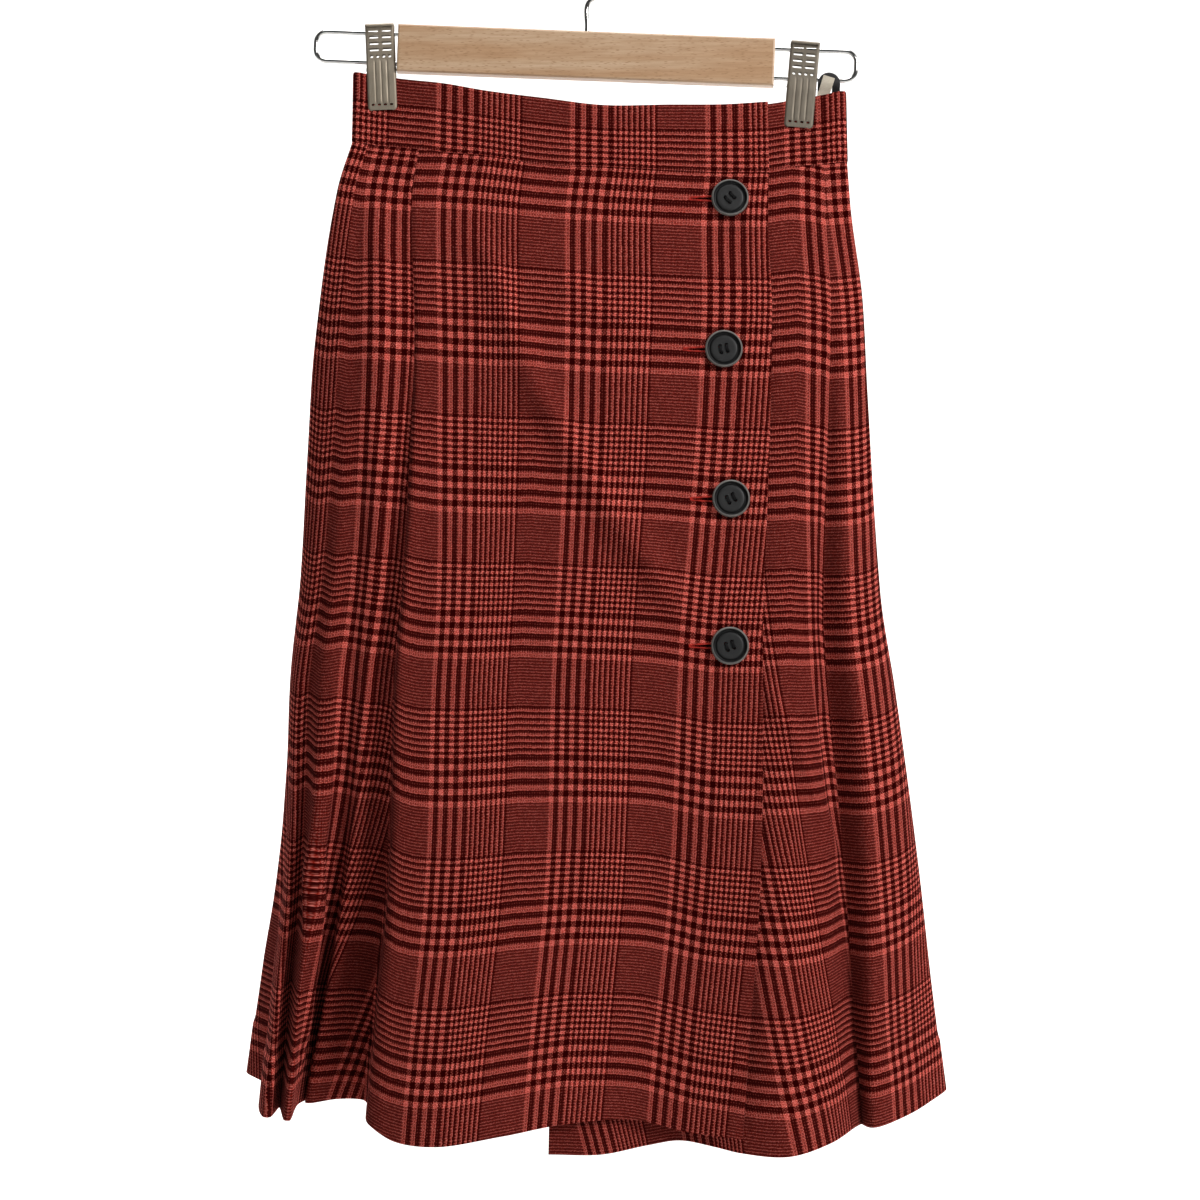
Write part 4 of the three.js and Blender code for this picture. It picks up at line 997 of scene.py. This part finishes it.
def strip(name, path, width, wall, depth_at, material, bow=0.0):
    """A thin closed strip along a path of (x, z) points, slightly bowed across its width."""
    path = np.asarray(path, float)
    along = np.gradient(path, axis=0)
    along /= np.linalg.norm(along, axis=1, keepdims=True)
    columns = np.linspace(-0.5, 0.5, 9)
    grid = np.zeros((len(path), 9, 3))
    for j, share in enumerate(columns):
        grid[:, j, 0] = path[:, 0] + along[:, 1] * width * share
        grid[:, j, 2] = path[:, 1] - along[:, 0] * width * share
    for i in range(len(path)):
        for j, share in enumerate(columns):
            grid[i, j, 1] = depth_at(grid[i, j, 2]) - bow * (1 - 4 * share ** 2)
    run = np.concatenate([[0], np.cumsum(np.linalg.norm(np.diff(path, axis=0), axis=1))])
    uvs = np.stack(np.broadcast_arrays(columns[None] * width, run[:, None]), axis=2)
    half = np.full(grid.shape[:2], wall / 2)
    half[:, (0, -1)] -= wall * 0.2
    piece = cloth_shell(name, grid, uvs, half, half)
    outward_faces(piece)
    piece.data.materials.append(material)
    return piece


LEG_STEPS = 12
leg = [RIBBON["foot"] + k * (RIBBON["spring"] - RIBBON["foot"]) / LEG_STEPS for k in range(LEG_STEPS)]
arch = [(RIBBON["x"] - RIBBON["arch"], z) for z in leg]
for step in range(25):
    turn = math.radians(180 - 180 * step / 24)
    arch.append((RIBBON["x"] + math.cos(turn) * RIBBON["arch"],
                 RIBBON["spring"] + math.sin(turn) * RIBBON["arch"]))
arch += [(RIBBON["x"] + RIBBON["arch"], z) for z in reversed(leg)]
grosgrain = ribbed_tape("black grosgrain ribbon", "#121011", "#1E1B1C", 0.7, 0.55)
ribbon = strip("ribbon_loop", arch, RIBBON["width"], RIBBON["wall"], ribbon_depth, grosgrain, 0.12)
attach(ribbon, "root")
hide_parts("hanging_loop")

# The folded tape: a short end of natural cotton tape sewn in with the ribbon, folded double so
# that its right edge is a fold.
TAPE = {"x": 160.5, "foot": -105.0, "top": -90.4, "lean": 4.6, "width": 8.0, "wall": 0.7,
        "foot_apart": 0.9}
cotton = ribbed_tape("natural cotton tape", "#B8AE9C", "#D3CABB", 0.9, 0.75)
rise = TAPE["top"] - TAPE["foot"]
lean = [(TAPE["x"] + TAPE["lean"] * k / 14, TAPE["foot"] + rise * k / 14) for k in range(15)]
tape_apart = (RIBBON["wall"] + TAPE["wall"]) / 2 + 2 * SEAM_GAP
tape_drift = (tape_apart - TAPE["foot_apart"]) / RIBBON["forward"]
tape = strip("cotton_tape", lean, TAPE["width"], TAPE["wall"],
             lambda z: ribbon_depth(z) * (1 + tape_drift) - TAPE["foot_apart"], cotton, 0.1)
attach(tape, "root")
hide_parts("folded_tape")

# The hanger's bar: planed beech with rounded edges, sanded and clear lacquered, drilled in both
# ends for the wire and in the top for the hook. The CAD solid has its shape and stays.
HANGER_TILT = math.radians(2.2)
BAR_MIDDLE = -75.8
BAR_LENGTH = 256.0


def lacquered_beech():
    """Beech: pale pinkish wood, fine long grain, short dark ray flecks, thin clear lacquer."""
    material, tree, shader = new_material("lacquered beech")
    place = node(tree, "ShaderNodeTexCoord").outputs["Object"]
    tilt = (0, -HANGER_TILT, 0)
    grain, growth, fleck = (
        node(tree, "ShaderNodeMapping", Vector=place, Rotation=tilt, Scale=scale).outputs[0]
        for scale in ((9, 160, 160), (3, 60, 60), (170, 1300, 1300)))
    fibre = node(tree, "ShaderNodeTexNoise", Vector=grain, Scale=4.0, Detail=8.0, Roughness=0.65)
    growth = node(tree, "ShaderNodeTexNoise", Vector=growth, Scale=1.0, Detail=3.0, Distortion=0.6)
    fleck = node(tree, "ShaderNodeTexVoronoi", Vector=fleck, Scale=1.0).outputs["Distance"]
    pale, band, plain = (
        node(tree, "ShaderNodeMapRange", Value=value, From_Min=low, From_Max=high)
        for value, low, high in ((fibre, 0.3, 0.72), (growth, 0.35, 0.65), (fleck, 0.1, 0.28)))
    darkened = {**IN_COLOUR, "blend_type": "MULTIPLY"}
    wood = node(tree, "ShaderNodeMix", IN_COLOUR, n0=pale, n6="#B5977A", n7="#CAB096").outputs[2]
    wood = node(tree, "ShaderNodeMix", darkened, n0=band, n6=wood, n7="#EBDCCB").outputs[2]
    wood = node(tree, "ShaderNodeMix", IN_COLOUR, n0=plain, n6="#94704D", n7=wood).outputs[2]
    relief = node(tree, "ShaderNodeBump", Strength=0.3, Distance=0.00008, Height=fibre)
    feed(tree, shader, Base_Color=wood, Normal=relief, Roughness=0.42, Coat_Weight=0.2,
         Coat_Roughness=0.25)
    return material


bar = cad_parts["hanger_bar"]
beech = lacquered_beech()
for material_slot in bar.material_slots:
    material_slot.material = beech

# The wire loops: chromed steel wire, bent twice, with both ends pushed into the bar. The clips
# slide on them.
WIRE = 3.2
LOOP = {"reach": 185.4, "spacing": 19.8, "corner": 7.5, "socket": 12.0}


def bright_metal(name, colour, roughness, scratch, stretch, metallic=1.0):
    """Plated steel: its colour barely varies, and fine handling marks break the gloss."""
    material, tree, shader = new_material(name)
    place = node(tree, "ShaderNodeTexCoord").outputs["Object"]
    stretched = node(tree, "ShaderNodeMapping", Vector=place, Scale=stretch).outputs[0]
    marks = node(tree, "ShaderNodeTexNoise", Vector=stretched, Scale=1.0, Detail=5.0)
    clouds = node(tree, "ShaderNodeTexNoise", Vector=place, Scale=120.0, Detail=2.0)
    tint = node(tree, "ShaderNodeMapRange", Value=clouds, To_Min=0.86, To_Max=1.06)
    plated = node(tree, "ShaderNodeVectorMath", "SCALE", Vector=to_linear(colour)[:3], Scale=tint)
    relief = node(tree, "ShaderNodeBump", Strength=scratch, Distance=0.00003, Height=marks)
    rough = node(tree, "ShaderNodeMapRange", Value=marks, To_Min=roughness * 0.7, To_Max=roughness * 1.4)
    feed(tree, shader, Base_Color=plated, Normal=relief, Roughness=rough, Metallic=metallic)
    return material


chrome = bright_metal("chromed steel wire", "#C4C3C1", 0.16, 0.05, (700, 700, 700))
hanger_place = Matrix.Translation((0, 0, BAR_MIDDLE)) @ Matrix.Rotation(HANGER_TILT, 4, "Y")
for name, side in (("left", -1), ("right", 1)):
    inner = BAR_LENGTH / 2 - LOOP["socket"] + 0.5
    outer = LOOP["reach"] - WIRE / 2
    half = LOOP["spacing"] / 2
    corner = LOOP["corner"]
    wire_path = [(inner + (outer - corner - inner) * k / 8, half) for k in range(9)]
    wire_path += [(outer - corner + corner * math.sin(math.radians(9 * k)),
                   half - corner + corner * math.cos(math.radians(9 * k))) for k in range(1, 11)]
    wire_path += [(outer, half - corner - (2 * half - 2 * corner) * k / 4) for k in range(1, 4)]
    mirrored = [(x, -z) for x, z in reversed(wire_path[:19])]
    wire_path = [(side * x, 0, z) for x, z in wire_path + mirrored]
    vertices, faces = tube(wire_path, [WIRE / 2] * len(wire_path), 24, (0, 1, 0))
    loop = new_object("wire_%s" % name, placed(vertices, hanger_place), faces)
    outward_faces(loop)
    loop.data.set_sharp_from_angle(angle=math.radians(50))
    loop.data.materials.append(chrome)
    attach(loop, "root")
    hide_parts("wire_loop_%s" % name)

# The hook: the same wire, bent round a former, with its point rounded over. Its stem turns in
# the hole in the bar's top.
HOOK = {"crown": 19.6, "stem": 36.0, "socket": 14.0}
hook_centre = -HOOK["crown"] + WIRE / 2
hook_points = []
for angle in range(205, -46, -25):
    turn = math.radians(angle)
    across, up = math.cos(turn) * HOOK["crown"], math.sin(turn) * HOOK["crown"]
    hook_points.append((across, 0, hook_centre + up))
for height in (HOOK["stem"], 20.0, 13.0, 2.5):
    hook_points.append((math.sin(HANGER_TILT) * height, 0, BAR_MIDDLE + math.cos(HANGER_TILT) * height))
hook_places = np.arange(0, len(hook_points) - 1 + 1e-9, 0.1)
hook_curve = ring_points(np.array([hook_points], float), hook_places)[0]
hook_radii = [WIRE / 2] * len(hook_curve)
start_run = hook_curve[0] - hook_curve[1]
start_run /= np.linalg.norm(start_run)
point_shares = (1.0, 0.95, 0.8, 0.6, 0.3)
hook_point = [hook_curve[0] + start_run * WIRE / 2 * share for share in point_shares]
hook_radii = [WIRE / 2 * math.sqrt(max(0.002, 1 - share ** 2)) for share in point_shares] + hook_radii
hook_curve = np.concatenate([hook_point, hook_curve])
vertices, faces = tube(hook_curve, hook_radii, 24, (0, 1, 0))
hook = new_object("hook_wire", vertices, faces)
outward_faces(hook)
hook.data.set_sharp_from_angle(angle=math.radians(50))
hook.data.materials.append(chrome)
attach(hook, "root")
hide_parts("hook")

# The clips' jaws: sheet steel, nickel plated, with the top edge rolled over, eight slots and
# four holes pierced through, and four flutes pressed below them, each with a small slot at its foot.
JAW_HALF = 29.5
JAW_WIDTH = 19.0
JAW_SHEET = 0.9
JAW_CORNER = 2.2
FLUTE_PITCH = 4.1
nickel = bright_metal("pressed nickel-plated steel", "#A29889", 0.6, 0.2, (900, 900, 90), 0.8)
worn_nickel = bright_metal("tarnished nickel-plated steel", "#8A8276", 0.6, 0.2, (900, 900, 90), 0.8)
CLIPS = (
    # name, x, z, lean in degrees, plating
    ("clip_left", -139.2, -83.4, -2.3, nickel),
    ("clip_right", 146.7, -95.3, 5.0, worn_nickel),
)

# The sheet's middle line from the lower edge to the end of the roll: distance out, height.
GRIP_OUT = 3.35
TOP_OUT = 2.35
ROLL = 0.85
ROLL_HEIGHT = 27.8
CORNER_TOP = -26.35
KNEE_FOOT = -5.1
KNEE_TOP = 6.1
jaw_line = [(GRIP_OUT, -JAW_HALF + 0.35 * k) for k in range(9)]
jaw_line += [(GRIP_OUT, CORNER_TOP + 0.85 * k) for k in range(1, 26)]
for k in range(1, 15):
    eased = (1 - math.cos(math.pi * k / 14)) / 2
    jaw_line.append((GRIP_OUT + (TOP_OUT - GRIP_OUT) * eased, KNEE_FOOT + 0.8 * k))
jaw_line += [(TOP_OUT, KNEE_TOP + 0.8 * k) for k in range(1, 28)]
for k in range(12):
    turn = math.radians(20 * k)
    jaw_line.append((TOP_OUT + ROLL - ROLL * math.cos(turn), ROLL_HEIGHT + ROLL * math.sin(turn)))

# What is pressed into the sheet: three grooves between four flutes, a slight crown across the
# grip, and an edge on each side turned towards the band.
GROOVE_DEPTH = 0.4
GROOVE_HALF = 0.6
FLUTES_TOP = 4.7
FLUTES_FOOT = -24.8
CROWN = 0.25
FLANGE = 0.7
FLANGE_START = 8.5
jaw_columns = np.linspace(-JAW_WIDTH / 2, JAW_WIDTH / 2, 53)
jaw_grid = np.zeros((len(jaw_line), len(jaw_columns), 3))
for i, (out, z) in enumerate(jaw_line):
    rise = z + JAW_HALF
    narrow = 0.0
    if rise < JAW_CORNER:
        narrow = JAW_CORNER - math.sqrt(JAW_CORNER ** 2 - (JAW_CORNER - rise) ** 2)
    for j, x in enumerate(jaw_columns):
        fade = min(1, max(0, (FLUTES_TOP - z) / 1.5)) * min(1, max(0, z - FLUTES_FOOT))
        flute = 0.0
        for groove in (-1, 0, 1):
            flute += GROOVE_DEPTH * math.exp(-((x - groove * FLUTE_PITCH) / GROOVE_HALF) ** 2) * fade
        flute -= CROWN * math.cos(x * math.pi / JAW_WIDTH) * fade
        flange = FLANGE * min(1, max(0, abs(x) - FLANGE_START)) ** 2
        jaw_grid[i, j] = (x * (1 - narrow / (JAW_WIDTH / 2)), -(out - flute - flange), z)
jaw_grid = jaw_grid[::-1]
half_sheet = np.full(jaw_grid.shape[:2], JAW_SHEET / 2)
jaw_uvs = jaw_grid[..., (0, 2)]


def rounded_prism(x, z, width, height, sides):
    """A prism through the sheet whose outline is a slot with round ends."""
    radius = height / 2
    outline = []
    for side in (1, -1):
        for k in range(sides + 1):
            turn = math.radians(-90 + 180 * k / sides)
            outline.append((x + side * (width / 2 - radius + radius * math.cos(turn)),
                            z + side * radius * math.sin(turn)))
    return prism(*([(px, y, pz) for px, pz in outline] for y in (-9, 0.2)))


# Two columns of four slots, then for each flute a round hole above it and a small slot at its foot.
SLOT = {"width": 6.8, "height": 2.1, "across": 8.6, "pitch": 4.3, "below_top": 4.9}
HOLE = {"width": 2.4, "below_top": 22.3}
FOOT_SLOT = {"width": 2.3, "height": 1.4, "above_foot": 3.6}
pierced = []
for column in (-0.5, 0.5):
    for row in range(4):
        height = JAW_HALF - SLOT["below_top"] - row * SLOT["pitch"]
        pierced.append(rounded_prism(column * SLOT["across"], height, SLOT["width"], SLOT["height"], 8))
for flute in (-1.5, -0.5, 0.5, 1.5):
    across = flute * FLUTE_PITCH
    pierced.append(rounded_prism(across, JAW_HALF - HOLE["below_top"], HOLE["width"], HOLE["width"], 10))
    pierced.append(rounded_prism(across, -JAW_HALF + FOOT_SLOT["above_foot"], FOOT_SLOT["width"],
                                 FOOT_SLOT["height"], 6))

# The springs: one coil of blackened spring wire across each clip, which holds the jaws shut.
coil_tree, given, result = new_tree("coil", (
    ("Turns", "NodeSocketFloat"), ("Radius", "NodeSocketFloat"), ("Length", "NodeSocketFloat"),
    ("Wire Diameter", "NodeSocketFloat"), ("Metal", "NodeSocketMaterial"),
))
spiral = node(coil_tree, "GeometryNodeCurveSpiral", Resolution=20, Rotations=given.outputs["Turns"],
              Start_Radius=given.outputs["Radius"], End_Radius=given.outputs["Radius"],
              Height=given.outputs["Length"])
section = node(coil_tree, "GeometryNodeCurvePrimitiveCircle", Resolution=8,
               Radius=node(coil_tree, MATH, "MULTIPLY", given.outputs["Wire Diameter"], 0.5))
swept = node(coil_tree, "GeometryNodeCurveToMesh", Curve=spiral.outputs[0],
             Profile_Curve=section.outputs[0], Fill_Caps=True)
made = node(coil_tree, "GeometryNodeRealizeInstances", Geometry=swept.outputs[0])
finished = node(coil_tree, "GeometryNodeSetMaterial", Geometry=made.outputs[0],
                Material=given.outputs["Metal"])
coil_tree.links.new(finished.outputs[0], result.inputs[0])
SPRING = {"turns": 22.0, "radius": 1.2, "length": 20.0, "wire": 0.75, "lower": 1.1}
spring_metal = bright_metal("blackened spring wire", "#3A3733", 0.4, 0.1, (600, 600, 600))

for name, x, z, lean_angle, plating in CLIPS:
    clip_place = Matrix.Translation((x, 0, z)) @ Matrix.Rotation(math.radians(lean_angle), 4, "Y")
    for part, about in (("front", 0), ("back", math.pi)):
        jaw = cloth_shell("%s_jaw_%s" % (name, part), jaw_grid, jaw_uvs, half_sheet, half_sheet)
        outward_faces(jaw)
        cut_out(jaw, *merged(pierced))
        move_mesh(jaw, clip_place @ Matrix.Rotation(about, 4, "Z"))
        jaw.data.set_sharp_from_angle(angle=math.radians(40))
        jaw.data.materials.clear()
        jaw.data.materials.append(plating)
        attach(jaw, "root")
        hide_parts("%s_%s" % (name, part))
    spring = run_tree("%s_coil" % name, [(0, 0, 0)], [], coil_tree, {
        "Turns": SPRING["turns"], "Radius": SPRING["radius"] * MM, "Length": SPRING["length"] * MM,
        "Wire Diameter": SPRING["wire"] * MM, "Metal": spring_metal,
    })
    lying = Matrix.Translation((-SPRING["length"] / 2, 0, -SPRING["lower"]))
    lying = lying @ Matrix.Rotation(math.pi / 2, 4, "Y")
    move_mesh(spring, clip_place @ lying)
    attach(spring, "root")
    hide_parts("%s_spring" % name)

# Studio: a pale floor that sweeps up into a backdrop, and large soft lights.
FLOOR_Z = -1.3
WALL_Y = 0.75
SWEEP = 0.3
profile = [(-4.0, FLOOR_Z)]
for step in range(13):
    turn = math.radians(90 * step / 12)
    profile.append((WALL_Y - SWEEP + SWEEP * math.sin(turn), FLOOR_Z + SWEEP - SWEEP * math.cos(turn)))
profile.append((WALL_Y, 3.0))
backdrop_points = [(x / MM, y / MM, z / MM) for x in (-4.0, 4.0) for y, z in profile]
count = len(profile)
backdrop_faces = [(i, i + 1, i + 1 + count, i + count) for i in range(count - 1)]
backdrop = new_object("backdrop", backdrop_points, backdrop_faces)
paper, tree, shader = new_material("pale seamless paper")
feed(tree, shader, Base_Color="#F4F4F3", Roughness=0.9)
backdrop.data.materials.append(paper)


def soft_light(name, place, aim, size, power):
    """A square area light that faces a point."""
    data = bpy.data.lights.new(name, "AREA")
    data.shape = "SQUARE"
    data.size = size
    data.energy = power
    lamp = bpy.data.objects.new(name, data)
    lamp.location = place
    lamp.rotation_euler = (Vector(aim) - Vector(place)).to_track_quat("-Z", "Y").to_euler()
    bpy.context.scene.collection.objects.link(lamp)


soft_light("key", (1.9, -1.75, 0.7), (0, 0, -0.45), 0.8, 46)
soft_light("fill", (-1.2, -2.3, 0.2), (0, 0, -0.45), 1.2, 0.8)
soft_light("upper backdrop light", (0, -0.2, 1.8), (0, 0.75, -0.4), 1.6, 45)
soft_light("left backdrop light", (-0.95, 0.3, -0.6), (-0.85, 0.75, -0.6), 0.6, 8)
soft_light("right backdrop light", (0.95, 0.3, -0.6), (0.85, 0.75, -0.6), 0.6, 8)

world = bpy.data.worlds.new("studio")
world.use_nodes = True
world.node_tree.nodes["Background"].inputs["Color"].default_value = (1, 1, 1, 1)
world.node_tree.nodes["Background"].inputs["Strength"].default_value = 0.08
bpy.context.scene.world = world
bpy.context.scene.view_settings.view_transform = "Standard"
bpy.context.scene.view_settings.look = "Medium High Contrast"
